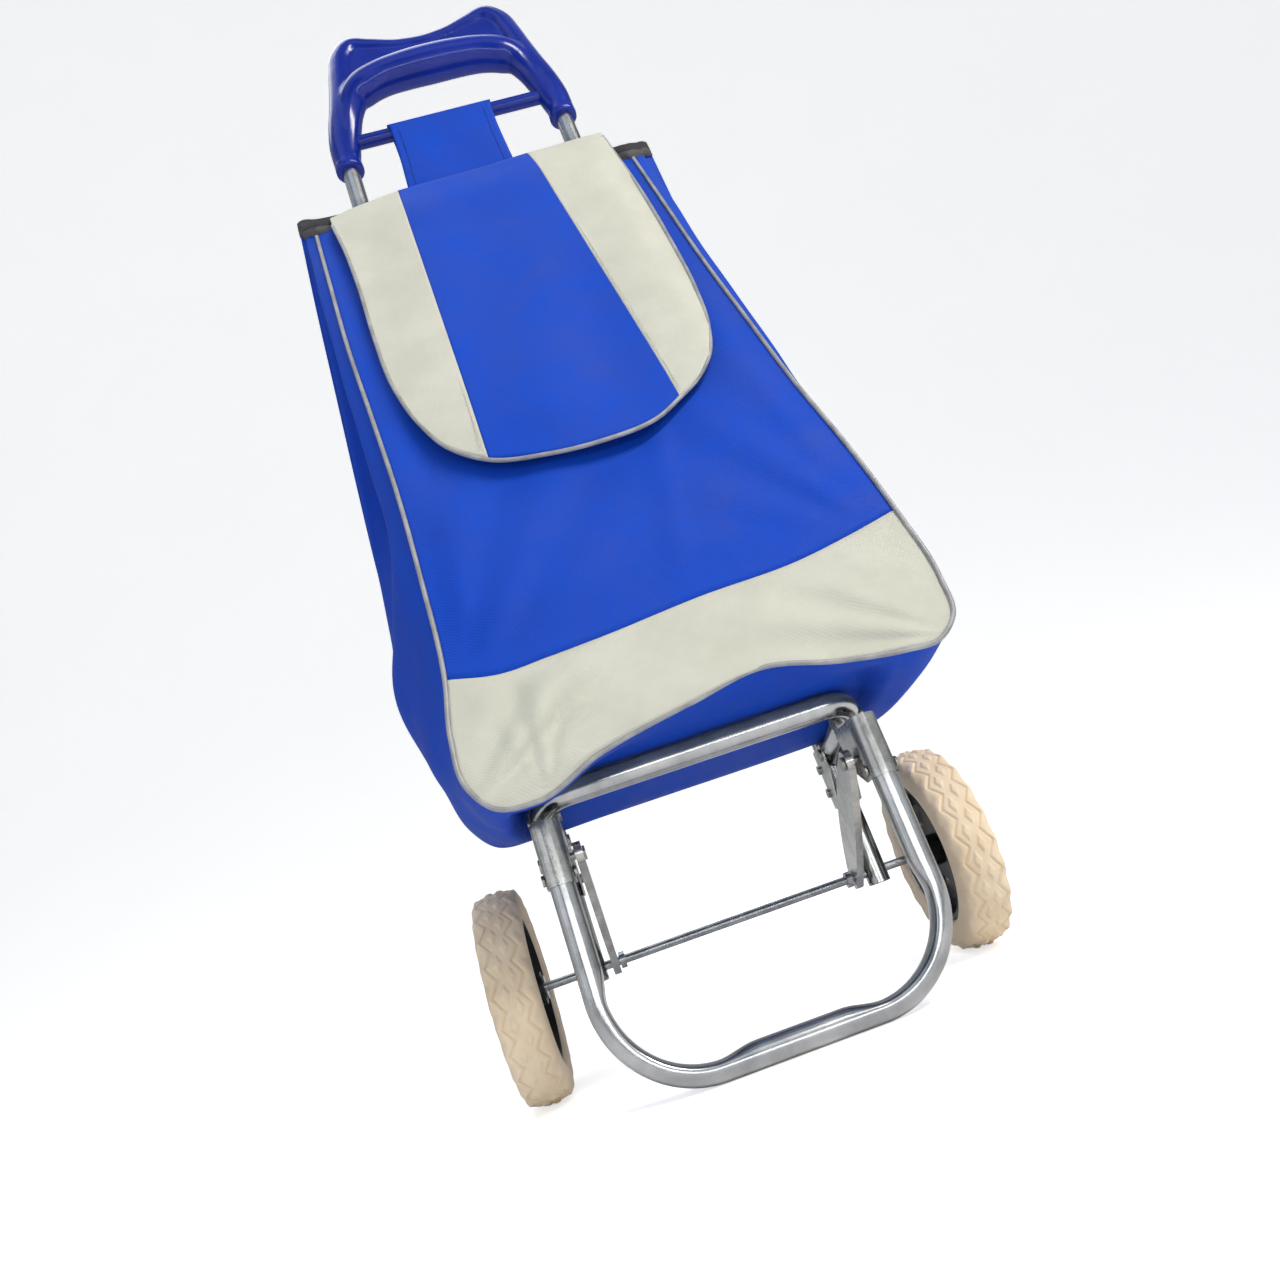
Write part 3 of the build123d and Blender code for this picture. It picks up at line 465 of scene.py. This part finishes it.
# The rear half of the fold is pressed back against the back panel.
to_back = (back_edge[None, :, 1] - 3 - gusset[..., 1]) * smooth(0.72 - t, 0, 0.3)
gusset[..., 1] += 0.72 * folded * side_on * to_back * smooth(t, 0, 0.1)
sag = -5 * np.sin(np.pi * t) * (1 - side_on) * (1 + 0.5 * np.sin(gusset[..., 0] / 21))
gusset[..., 2] += sag
depth = gusset[..., 1]
tube_top = PLATFORM_TOP + (HINGE_Y - depth) * PLATFORM_SLOPE + CLOTH_ABOVE
above_loop = smooth(np.abs(gusset[..., 0]), 126, 114) * smooth(-depth, 10, 20) * smooth(-depth, 168, 120)
over_tubes = above_loop * smooth(height, 160, 130)
hung = gusset[..., 2]
lifted = np.maximum(hung, hung * (1 - over_tubes) + tube_top * over_tubes)
gusset[..., 2] = np.where(over_tubes > 0, lifted, hung)
bag_gusset = cloth("bag_gusset", gusset, LOOKS["blue_cloth"])
finish_piece(bag_gusset, "blue_cloth", "frame", "bag_gusset_left", "bag_gusset_right", "bag_base")
print("gusset", gusset.shape[:2], "widest at", gusset[..., 0].min().round(1), gusset[..., 0].max().round(1))

# %% [markdown]
# ## The back panel and the stiff board
#
# The back panel hangs flat against the uprights. The board is a loose plate in the foot of the bag.
# Both are simple, but without them the bag would be a mask with nothing behind it.

# %% Back panel and board
BACK_MOUTH = [
    BACK_LEFT[0], (-120, -12, 686), (-70, -12, 685), (-25, -12, 685), (25, -12, 684), (70, -12, 682),
    (120, -12, 680), BACK_RIGHT[0]]
down = slice(0, 9 * PER + 1)
across_foot = slice(9 * PER, 16 * PER + 1)
back = fill(through(BACK_MOUTH, PER), back_edge[across_foot], back_edge[down], back_edge[::-1][down])
x, z = back[..., 0], back[..., 2]
ease = -np.abs(soft_waves(x, z)) * 1.4 - 3.0 * np.abs(np.sin(x / 52)) * smooth(np.abs(np.abs(x) - 105), 8, 40)
back[..., 1] += edge_fade(*x.shape) * ease
bag_back = cloth("bag_back_panel", back, LOOKS["blue_cloth"])
finish_piece(bag_back, "blue_cloth", "frame", "bag_back")

corner = np.linspace(0, 2 * np.pi, 96, endpoint=False)
plate_x = 6 + 124 * np.sign(np.cos(corner)) * np.abs(np.cos(corner)) ** 0.25
plate_y = -82 + 62 * np.sign(np.sin(corner)) * np.abs(np.sin(corner)) ** 0.25
plate_z = PLATFORM_TOP + (HINGE_Y - plate_y) * PLATFORM_SLOPE + 5
plate = np.stack([np.stack([plate_x, plate_y, plate_z + rise], 1) for rise in (0, 4)])
bag_board = put("bag_floor_board", *loft(plate), [LOOKS["board"]], smooth_faces=False)
finish_piece(bag_board, "board", "frame", "bag_board")
print("back", back.shape[:2])

# %% [markdown]
# ## Piping
#
# Piping is a cord wrapped in a strip of plastic and caught in the seam. A curve object with a bevel
# would do. A swept ring of points keeps it in the same mesh language as everything else.

# %% Bag piping
PIPING = 1.6                # radius
piped = front_edge[2:-2]    # the tape covers the two ends
cord_line = piped + np.array([0, -1.2, -0.2]) + np.where(piped[:, :1] < 0, -0.6, 0.6) * np.array([1, 0, 0])
bag_cord = put("bag_panel_piping", *loft(tube_rings(cord_line, PIPING, sides=12)), [LOOKS["grey_piping"]])
finish_piece(bag_cord, "grey_piping", "frame", "bag_piping")
print("piping length", round(float(np.linalg.norm(np.diff(cord_line, axis=0), axis=1).sum())), "mm")

# %% [markdown]
# ## The bound mouth
#
# The raw edge of the mouth is folded into a dark tape. It follows the back, dips in at each bellows
# fold and comes back out at the front. The ring of the mouth is read from the surfaces above, and a
# tall thin section is swept round it. Its upper half is the black inner face of the tape.

# %% Mouth binding
front_mouth, back_mouth = through(MOUTH, PER)[1:-1], through(BACK_MOUTH, PER)[::-1][1:-1]
ring = np.vstack([gusset[:, 0], front_mouth, gusset[::-1, -1], back_mouth])
ring_ahead = np.roll(ring, -1, axis=0) - np.roll(ring, 1, axis=0)
ring_out = np.cross(ring_ahead, (0, 0, 1))
ring_out /= np.linalg.norm(ring_out, axis=1)[:, None]
# The tape is bulky where it turns the four corners of the mouth.
swell = np.ones(len(ring))
for corner_point in (gusset[3, 0], gusset[-3, 0], gusset[3, -1], gusset[-3, -1]):
    swell += 1.3 * np.exp(-((np.linalg.norm(ring - corner_point, axis=1) / 8) ** 2))
TAPE = [(-1.9, -9), (-1.9, -1), (-1.6, 8), (0, 9), (1.6, 8), (1.9, -1), (1.9, -9)]
section = np.array(TAPE)
sideways = ring_out[:, None] * section[None, :, :1] * swell[:, None, None]
tape = ring[:, None] + sideways + np.array([0, 0, 1]) * section[None, :, 1:]
tape = np.vstack([tape, tape[:1]])
rows, columns = tape.shape[:2]
tape_faces = quads(rows, columns, True)
tape_faces = np.where(tape_faces >= (rows - 1) * columns, tape_faces - (rows - 1) * columns, tape_faces)
upper = (np.arange(len(tape_faces)) % columns >= 1) & (np.arange(len(tape_faces)) % columns <= 4)
tapes = [LOOKS["dark_binding"], BLACK_TAPE]
binding = put("mouth_binding_tape", tape[:-1].reshape(-1, 3), tape_faces, tapes, pick=upper)
finish_piece(binding, "dark_binding", "frame", "bag_mouth_binding")
print("mouth ring", len(ring), "points")

# %% [markdown]
# ## The flap
#
# The lid is sewn to the top of the back, turns over the mouth and hangs down the front. It is three
# cloths, two beige stripes beside a blue middle, edged with the same piping. The seams are curves
# that all three share. It hangs a few millimetres clear of the panel and its tip lifts slightly.

# %% Flap cloths
FLAP_LEFT = [
    (-133, -13, 680), (-133, -26, 677), (-131.5, -50, 646), (-127, -59, 611), (-123.3, -72, 554),
    (-122, -87, 490), (-117.5, -101.5, 430), (-107, -111.5, 388)]
FLAP_FOOT = [(-91.8, -119.5, 356.4), (-68, -124.5, 335.5)]
SEAM_LEFT = [
    (-69, -13, 689), (-69, -27, 686), (-68.9, -49, 651.5), (-68.6, -61, 600), (-68.3, -78, 530),
    (-68, -94, 460), (-67.8, -110, 395), (-68, -124.5, 335.5)]
SEAM_RIGHT = [
    (51, -13, 692), (51, -28, 690), (52.4, -48, 659.3), (57, -61, 600), (62, -78, 530), (67, -94, 462),
    (71, -109, 398), (73.8, -122.8, 341.5)]
MIDDLE_FOOT = [
    (-68, -124.5, 335.5), (-27.4, -126.8, 325.4), (8, -127.4, 323), (54.3, -125.8, 329.5),
    (73.8, -122.8, 341.5)]
FLAP_RIGHT = [
    (124, -13, 696), (124, -27, 694), (120, -44, 672.9), (125.6, -65, 586), (126.5, -82.5, 512),
    (124.5, -98, 445), (119, -108, 405), (107, -116, 372)]
RIGHT_FOOT = [(73.8, -122.8, 341.5), (92, -119.5, 354.5), (107, -116, 372)]
PARTS = {
    "flap_stripe_left": (FLAP_LEFT, SEAM_LEFT, [FLAP_LEFT[-1], *FLAP_FOOT],
                         [FLAP_LEFT[0], (-101, -13, 685), SEAM_LEFT[0]]),
    "flap_middle": (SEAM_LEFT, SEAM_RIGHT, MIDDLE_FOOT,
                    [SEAM_LEFT[0], (-39, -13, 691), (-9, -13, 692), (21, -13, 692), SEAM_RIGHT[0]]),
    "flap_stripe_right": (SEAM_RIGHT, FLAP_RIGHT, RIGHT_FOOT, [SEAM_RIGHT[0], (88, -13, 694), FLAP_RIGHT[0]]),
}
flap_pieces = []
for name, (start, end, foot, head) in PARTS.items():
    grid = fill(through(head, 20), through(foot, 20), through(start, PER), through(end, PER))
    x, z = grid[..., 0], grid[..., 2]
    drape = (2.6 * np.sin(x / 25 + 0.9 + z / 210) + 1.3 * np.sin(x / 13 - z / 90)) * smooth(z, 690, 560)
    drape = drape + 1.4 * soft_waves(x * 1.1, z) * smooth(z, 700, 640) + 3
    fade = smooth(z, 700, 660) * smooth(128 - np.abs(x), 0, 26) * smooth(z, 318, 372)
    grid = grid + (fade * drape)[..., None] * FACE_OUT
    look = "blue_cloth" if name == "flap_middle" else "beige_cloth"
    piece = cloth(name, grid, LOOKS[look], thick=1.3)
    flap_pieces.append(finish_piece(piece, look, "flap"))
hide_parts("flap")
print([piece.name for piece in flap_pieces])

# %% [markdown]
# ## The flap's piping
#
# The same cord edges the flap, so the same swept ring makes it. Its path is the flap's own outline,
# from one upper corner down, round the tip and up to the other, so it can't drift off the cloth.

# %% Flap piping
edge = through(FLAP_LEFT[2:] + FLAP_FOOT + MIDDLE_FOOT[1:] + RIGHT_FOOT[1:-1] + FLAP_RIGHT[:1:-1], PER)
flap_tube = tube_rings(edge + np.array([0, -0.8, -0.6]), PIPING, sides=12)
flap_cord = put("flap_edge_piping", *loft(flap_tube), [LOOKS["grey_piping"]])
finish_piece(flap_cord, "grey_piping", "flap", "flap_piping")
print("flap piping", len(edge), "points")

# %% [markdown]
# ## The strap over the crossbar
#
# A doubled strip of the same blue cloth goes over the handle's crossbar and back down behind the
# flap. It carries the bag. It is one surface that runs up the front, round the bar and down again.

# %% Hanging strap
turn = np.linspace(0, np.pi, 24)
front_run = np.stack([np.linspace(-13.0, -8.2, 22), np.linspace(676, 785, 22)], 1)
over_bar = np.stack([-8.2 * np.cos(turn), 787 + 8.4 * np.sin(turn)], 1)
back_run = np.stack([np.linspace(8.2, -9.5, 22), np.linspace(785, 676, 22)], 1)
run = np.vstack([front_run, over_bar, back_run])
half = 51.5 - 2.6 * np.sin(np.linspace(0, np.pi, len(run))[:, None] * 2) ** 2
side = np.linspace(-1, 1, 40)[None, :]
strap = np.stack([side * half - 8 + 0 * run[:, :1], run[:, :1] + 0 * side, run[:, 1:] + 0 * side], -1)
facing = np.where(np.arange(len(run)) < 24, -1.0, 0.4)[:, None]
ripple = (1.1 * np.sin(strap[..., 0] / 17 + strap[..., 2] / 31) + 0.8) * (1 - side**2)
strap[..., 1] += facing * ripple * smooth(776 - strap[..., 2], 0, 40)
hang_strap = cloth("hanging_strap", strap, LOOKS["blue_cloth"], thick=1.4)
finish_piece(hang_strap, "blue_cloth", "frame", "hang_strap")
print("strap", strap.shape[:2])

# %% [markdown]
# ## Stitches
#
# Rows of stitches hold the hems of the strap and the seams of the flap. A texture could draw them,
# but short threads of real size catch the light as thread does. Each is a tiny six-sided bar; one
# array holds them all.

# %% Stitch rows
def stitch_rings(path, outward, pitch=4.0, length=2.6, radius=0.35):
    """Short bars along a path: centres every pitch, each a ring pair of six points, lifted outward."""
    run = np.concatenate([[0], np.cumsum(np.linalg.norm(np.diff(path, axis=0), axis=1))])
    at = np.arange(pitch, run[-1] - pitch, pitch)
    centre = np.stack([np.interp(at, run, path[:, k]) for k in range(3)], 1) + np.asarray(outward)
    ahead = np.stack([np.interp(at + 1, run, path[:, k]) for k in range(3)], 1) + np.asarray(outward) - centre
    ahead /= np.linalg.norm(ahead, axis=1)[:, None]
    across = np.cross(ahead, (0, 1, 0))
    across /= np.linalg.norm(across, axis=1)[:, None]
    up = np.cross(across, ahead)
    angle = np.linspace(0, 2 * np.pi, 6, endpoint=False)
    round_it = np.cos(angle)[None, :, None] * across[:, None] + np.sin(angle)[None, :, None] * up[:, None]
    ends = [centre[:, None] + sign * ahead[:, None] * length / 2 + round_it * radius for sign in (-1, 1)]
    return np.stack(ends, 1)


def stitches(name, paths, outward, thread):
    """All the stitches of several paths as one mesh of closed six-sided bars."""
    bars = np.vstack([stitch_rings(path, outward) for path in paths])
    one = loft(bars[0])[1]
    faces = [[12 * k + i for i in face] for k in range(len(bars)) for face in one]
    return put(name, bars.reshape(-1, 3), faces, [thread], smooth_faces=False)


hems = [strap[:22, k] for k in (3, -4)]
strap_thread = stitches("strap_stitches", hems, (0, -1.0, 0), BLUE_THREAD)
finish_piece(strap_thread, "blue_cloth", "frame")
seams = [through(SEAM_LEFT[2:], PER) + (-2.5, 0, 0), through(SEAM_RIGHT[2:], PER) + (2.5, 0, 0)]
flap_thread = stitches("flap_stitches", seams, (0, -4.4, -1.0), LOOKS["beige_cloth"])
finish_piece(flap_thread, "beige_cloth", "flap")
print("stitches made")

# %% [markdown]
# ## The moulded handle
#
# The handle is one hollow moulding: two sleeves over the uprights, a horn at each shoulder, a bowed
# top edge, an arched grip, and a scooped web between grip and top edge. Modelled as one surface it
# is hard work. Instead the simple bodies are pushed into each other, a Remesh modifier melts them
# into one skin, and a Smooth modifier rounds the joins as a mould would. Each body is drawn as its
# right half and mirrored, since the moulding is the same on both sides.

# %% Handle
HORN = [
    (105, 0, 752), (105, 0, 785), (101.5, 0, 806), (95.5, 0, 830), (90, 1, 857), (86, 2, 879), (81, 3, 898),
    (70, 4, 910), (52, 4, 906), (26, 4, 899), (0, 4, 896)]
GRIP = [
    (104, 0, 766), (99.5, 0, 786), (94, -1, 806), (87.5, -3, 825), (80, -5, 839), (69, -6, 847),
    (50, -6, 854), (25, -6, 857), (0, -6, 857.5)]


def both_sides(half, per=10):
    """A curve through the given right half, and its mirror image on the left."""
    right = np.array(half, float)
    return through(np.vstack([right * (-1, 1, 1), right[-2::-1]]), per)


rail_line, grip_line = both_sides(HORN), both_sides(GRIP)
away = np.abs(rail_line[:, 0])
rail_size = np.where(rail_line[:, 2] < 760, 13.4, 12.9 - 3.1 * smooth(away, 78, 20))
along_grip = np.abs(grip_line[:, 0])
grip_size = 11.6 + 5.0 * smooth(along_grip, 94, 68) + 1.2 * smooth(along_grip, 60, 0)
web_x = np.linspace(-86, 86, 60)
top = rail_line[rail_line[:, 2] > 878]
top_z = np.interp(web_x, top[:, 0], top[:, 2])
low_z = np.interp(web_x, grip_line[:, 0], grip_line[:, 2])
around = np.linspace(0, 2 * np.pi, 64, endpoint=False)
thick = 8.6 + 2.0 * smooth(np.abs(web_x), 20, 78)
web_z = (top_z + low_z)[:, None] / 2 + (top_z - low_z)[:, None] / 2 * np.cos(around)[None]
web_y = 3.6 + thick[:, None] * np.sign(np.sin(around)) * np.abs(np.sin(around)) ** 0.4
web = np.stack(np.broadcast_arrays(web_x[:, None], web_y, web_z), -1)
bodies = [loft(tube_rings(rail_line, rail_size, 32)), loft(tube_rings(grip_line, grip_size, 32)), loft(web)]
points, faces, start = [], [], 0
for body_points, body_faces in bodies:
    points.append(body_points)
    faces += [[i + start for i in face] for face in body_faces]
    start += len(body_points)
handle = put("moulded_handle", np.vstack(points), faces, [LOOKS["blue_moulding"]])
melt = handle.modifiers.new("melt", "REMESH")
melt.mode = "VOXEL"
melt.voxel_size = 0.0014
melt.use_smooth_shade = True
ease = handle.modifiers.new("ease", "SMOOTH")
ease.factor = 0.5
ease.iterations = 12
finish_piece(handle, "blue_moulding", "frame", "handle")

# %% [markdown]
# ## The foot loop
#
# The loop that the trolley rests on is one bent tube. Where a thin tube is bent by a simple press it
# crimps: the inside of the bend is pushed flat, and the flat starts and stops within a centimetre.
# CAD kept it round. Here the rings of the tube are drawn along the path and dented inside each bend.

# %% Crimped foot loop
FOOT_Y, FOOT_Z = -112.0, -79.3      # the loop's plane, and the middle of its lowest run
FOOT_BEND, LEG = 57.0, 105.0        # radius of each bend, and half the loop's width
FOOT_TUBE, FOOT_TOP = 16.0, 84.0
bend = np.linspace(0, np.pi / 2, 40)
left_bend = np.stack([-LEG + FOOT_BEND * (1 - np.cos(bend)), FOOT_Z + FOOT_BEND * (1 - np.sin(bend))], 1)
leg = np.stack([np.full(60, -LEG), np.linspace(FOOT_TOP, FOOT_Z + FOOT_BEND + 2, 60)], 1)
bar = np.stack([np.linspace(-LEG + FOOT_BEND + 2, 0, 30), np.full(30, FOOT_Z)], 1)
half_loop = np.vstack([leg, left_bend, bar])
loop = np.vstack([half_loop, half_loop[:-1][::-1] * (-1, 1)])
loop = np.stack([loop[:, 0], np.full(len(loop), FOOT_Y), loop[:, 1]], 1)
rings = tube_rings(loop, FOOT_TUBE / 2, 48)
centre = loop[:, None]
step = np.concatenate([[0], np.cumsum(np.linalg.norm(np.diff(loop, axis=0), axis=1))])
bend_start, bend_end = step[60] - 6, step[100] + 6
crimp = smooth(step, bend_start - 12, bend_start + 12) * smooth(step, bend_end + 14, bend_end - 10)
crimp = np.maximum(crimp, crimp[::-1])[:, None]
# Inward points from each place on a bend to the bend's own centre.
inward = np.zeros_like(loop)
past_bar = np.abs(loop[:, 0]) - LEG + FOOT_BEND
inward[:, 0] = np.where(past_bar > 0, np.sign(-loop[:, 0]) * np.clip(past_bar, 1, None), 0)
inward[:, 2] = np.clip(FOOT_Z + FOOT_BEND - loop[:, 2], 0, None)
inward /= np.maximum(np.linalg.norm(inward, axis=1), 1e-6)[:, None]
reach = ((rings - centre) * inward[:, None]).sum(-1)
dent = -crimp * np.clip(reach - 2.5, 0, None) * 0.6
spread = 1 + 0.05 * crimp
rings = rings + dent[..., None] * inward[:, None]
rings[..., 1] = FOOT_Y + (rings[..., 1] - FOOT_Y) * spread
foot = put("foot_loop_tube", *loft(rings), [LOOKS["plated_tube"]])
finish_piece(foot, "plated_tube", "foot", "foot_loop")
print("foot loop", rings.shape[:2], "crimp", float(crimp.max()))

# %% [markdown]
# ## Tyres
#
# The tyres are foam rings with a tread of two zigzag grooves and raised diamonds between them. A
# tyre is a grid that closes both ways: once round the wheel and once round its own section. The
# tread is a height added along the wheel's radius, written as a formula in angle and width.

# %% Tyres
TEETH = 23                  # zigzag teeth round the tread


def tyre(name, centre_x, body, node):
    """A rounded square section turned about the axle; grooves follow a triangle wave, with nubs between."""
    turns, around = 1080, 90
    angle = np.linspace(0, 2 * np.pi, turns, endpoint=False)[:, None]
    # Points are spaced evenly along the section, closer on the tread than at the rim.
    fine = np.linspace(0, 2 * np.pi, 4001)
    wide = 16.0 * np.sign(np.cos(fine)) * np.abs(np.cos(fine)) ** 0.55
    sine = np.sin(fine)
    radial = 59 + np.where(sine > 0, 13.0 * np.abs(sine) ** 0.55, -10.0 * np.abs(sine) ** 0.3)
    weight = np.where(radial > 62, 1.0, 0.28)
    run = np.concatenate([[0], np.cumsum(np.hypot(np.diff(wide), np.diff(radial)) * weight[1:])])
    even = np.linspace(0, run[-1], around, endpoint=False)
    wide, radial = np.interp(even, run, wide)[None], np.interp(even, run, radial)[None]
    crown = smooth(radial, 65, 70)
    teeth = angle * TEETH / (2 * np.pi)
    zig = 2 * np.abs((teeth % 1) * 2 - 1) - 1
    groove = np.exp(-(((np.abs(wide) - 8.6 - 3.0 * zig * np.sign(wide)) / 0.8) ** 2))
    pitch = 2 * np.pi * 71 / TEETH
    nub_one = 1 - np.abs(wide - 3.2) / 3.4 - np.abs(((teeth + 0.5) % 1) - 0.5) * pitch / 7.4
    nub_two = 1 - np.abs(wide + 3.2) / 3.4 - np.abs((teeth % 1) - 0.5) * pitch / 7.4
    nubs = smooth(nub_one, 0, 0.5) + smooth(nub_two, 0, 0.5)
    scallop = 1.5 * zig * np.sign(wide) * smooth(np.abs(wide), 10, 14) * smooth(radial, 60, 66)
    rise = crown * (1.3 * nubs - 1.7 * groove) + scallop - 1.3 * (radial > 60)
    size = radial + rise
    rings = np.stack(np.broadcast_arrays(centre_x + wide, size * np.cos(angle), size * np.sin(angle)), -1)
    faces = quads(turns + 1, around, True)
    faces = np.where(faces >= turns * around, faces - turns * around, faces)
    piece = put(name, rings.reshape(-1, 3), faces[:, ::-1], [LOOKS["cream_tyre"]])
    return finish_piece(piece, "cream_tyre", body, node)


TRACK_HALF = 156.5
tyres = [
    tyre("tread_left", -TRACK_HALF, "wheel_left", "tyre_left"),
    tyre("tread_right", TRACK_HALF, "wheel_right", "tyre_right")]
print("tyres with", len(tyres[0].data.polygons), "faces each")

# %% [markdown]
# ## The soft pieces get their own meshes
#
# When the platform folds up against the uprights, the empty bag is pressed flat, and real cloth would
# crumple. Nothing here folds it; each soft piece only gets its own copy of its mesh.

# %% Own meshes for the soft pieces
soft_pieces = [
    bag_panel, bag_band, bag_gusset, bag_back, bag_board, bag_cord, binding, *flap_pieces, flap_cord,
    flap_thread]
for piece in soft_pieces:
    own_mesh(piece)
print(len(soft_pieces), "pieces flatten")

# %% [markdown]


# %% [markdown]
# ## Studio
#
# A pale sweep of paper, curved up behind, keeps the outline clean. It glows a little when it is seen
# straight on, as an evenly lit backdrop does, but it casts no light of its own on the trolley.

# %% Floor and backdrop
paper = finish("Studio paper", "#FFFFFF", "#FCFCFC", 900, 0.95, size=30, height=0.01)
glow = next(node for node in paper.node_tree.nodes if node.type == "BSDF_PRINCIPLED")
glow.inputs["Emission Color"].default_value = (1, 1, 1, 1)
seen_straight = add(paper.node_tree, "ShaderNodeLightPath").outputs["Is Camera Ray"]
lit = add(paper.node_tree, "ShaderNodeMath", {0: seen_straight, 1: 0.6}, operation="MULTIPLY")
paper.node_tree.links.new(lit.outputs[0], glow.inputs["Emission Strength"])
sweep = np.linspace(0, np.pi / 2, 24)
bowed = np.stack([1 + 7 * np.sin(sweep[1:]), 7 - 7 * np.cos(sweep[1:])], 1)
profile = np.vstack([[(-9, 0), (0, 0), (1, 0)], bowed, [(8, 12)]])
wide = np.array([-14.0, 0, 14.0])
sheet = np.stack(np.broadcast_arrays(wide[None], profile[:, :1], profile[:, 1:]), -1)
mesh = bpy.data.meshes.new("studio_paper")
mesh.from_pydata(sheet.reshape(-1, 3).tolist(), [], quads(len(profile), 3, False)[:, ::-1].tolist())
mesh.materials.append(paper)
mesh.polygons.foreach_set("use_smooth", np.full(len(mesh.polygons), True))
backdrop = bpy.data.objects.new("studio_paper", mesh)
bpy.context.scene.collection.objects.link(backdrop)
print("paper of", len(mesh.polygons), "faces")

# %% [markdown]
# ## Lights and sky
#
# Bright plate mirrors whatever is round it. A plain sky would leave the tubes blank, so mirror rays
# see a sky of soft dark and light patches, which draws grey lines down the tubes. The big lamps
# give cloth its shape, and a long low strip in front draws the highlight along the grip.

# %% Lights and world
def lamp(name, at, towards, size, power, tint="#FFFFFF", tall=None):
    """An area lamp that faces a point."""
    data = bpy.data.lights.new(name, "AREA")
    data.shape = "RECTANGLE"
    data.size = size
    data.size_y = tall or size
    data.energy = power
    data.color = colour(tint)[:3]
    made = bpy.data.objects.new(name, data)
    back = np.asarray(at, float) - np.asarray(towards, float)
    back /= np.linalg.norm(back)
    side = np.cross((0, 0, 1), back)
    side /= np.linalg.norm(side)
    up = np.cross(back, side)
    made.matrix_world = Matrix([[side[i], up[i], back[i], at[i]] for i in range(3)] + [[0, 0, 0, 1]])
    bpy.context.scene.collection.objects.link(made)
    return made


lamp("key", (1.5, -1.5, 2.3), (0, 0, 0.45), 1.9, 62, "#FFF7EC", tall=0.35)
lamp("fill", (-2.4, -1.6, 1.3), (0, 0, 0.4), 1.8, 7, "#F2F6FF")
lamp("top", (-0.4, 0.6, 2.8), (0, 0, 0.5), 1.6, 18)
lamp("strip", (0.1, -2.3, 0.55), (0, 0.1, 0.9), 2.2, 9, tall=0.14)
world = bpy.data.worlds.new("sky")
bpy.context.scene.world = world
world.use_nodes = True
tree = world.node_tree
tree.nodes.clear()
ray = add(tree, "ShaderNodeLightPath")
direction = add(tree, "ShaderNodeTexCoord").outputs["Generated"]
height = add(tree, "ShaderNodeSeparateXYZ", {"Vector": direction})
level = add(tree, "ShaderNodeMapRange", {"Value": height.outputs["Z"], "From Min": -0.25, "From Max": 0.9})
sky = mix(tree, level.outputs["Result"], colour("#E9E7E2"), colour("#DDE8F8"))
cloudy = add(tree, "ShaderNodeTexNoise", {"Vector": direction, "Scale": 2.2, "Detail": 2.0})
patch = add(tree, "ShaderNodeMapRange", {"Value": cloudy.outputs["Fac"], "From Min": 0.42, "From Max": 0.6,
                                         "To Min": 0.16, "To Max": 1.0})
seen = add(tree, "ShaderNodeMix", {0: ray.outputs["Is Glossy Ray"], 2: 0.34, 3: patch.outputs["Result"]})
straight = add(tree, "ShaderNodeMix", {0: ray.outputs["Is Camera Ray"], 2: seen.outputs[0], 3: 1.0})
shine = add(tree, "ShaderNodeBackground", {"Color": sky, "Strength": straight.outputs[0]})
add(tree, "ShaderNodeOutputWorld", {"Surface": shine.outputs["Background"]})
print("four lamps and a sky")

# %% [markdown]
# ## Camera
#
# The camera is low, in front and slightly to the left, and it looks up with a strong roll. Its place
# and axes are written out, so that the view never drifts.

# %% Camera
RIGHT = np.array([0.9444, -0.0362, -0.3179])
UP = np.array([0.3009, -0.2308, 0.9241])
AHEAD = np.array([0.1069, 0.9723, 0.2077])
EYE = np.array([-0.0808, -0.7147, 0.1297])
lens = bpy.data.cameras.new("view")
lens.lens = 28.04
lens.sensor_width = 36
lens.clip_start = 0.02
camera = bpy.data.objects.new("view", lens)
camera.matrix_world = Matrix([[RIGHT[i], UP[i], -AHEAD[i], EYE[i]] for i in range(3)] + [[0, 0, 0, 1]])
bpy.context.scene.collection.objects.link(camera)
bpy.context.scene.camera = camera
bpy.context.scene.view_settings.view_transform = "Standard"
print("camera at", EYE)
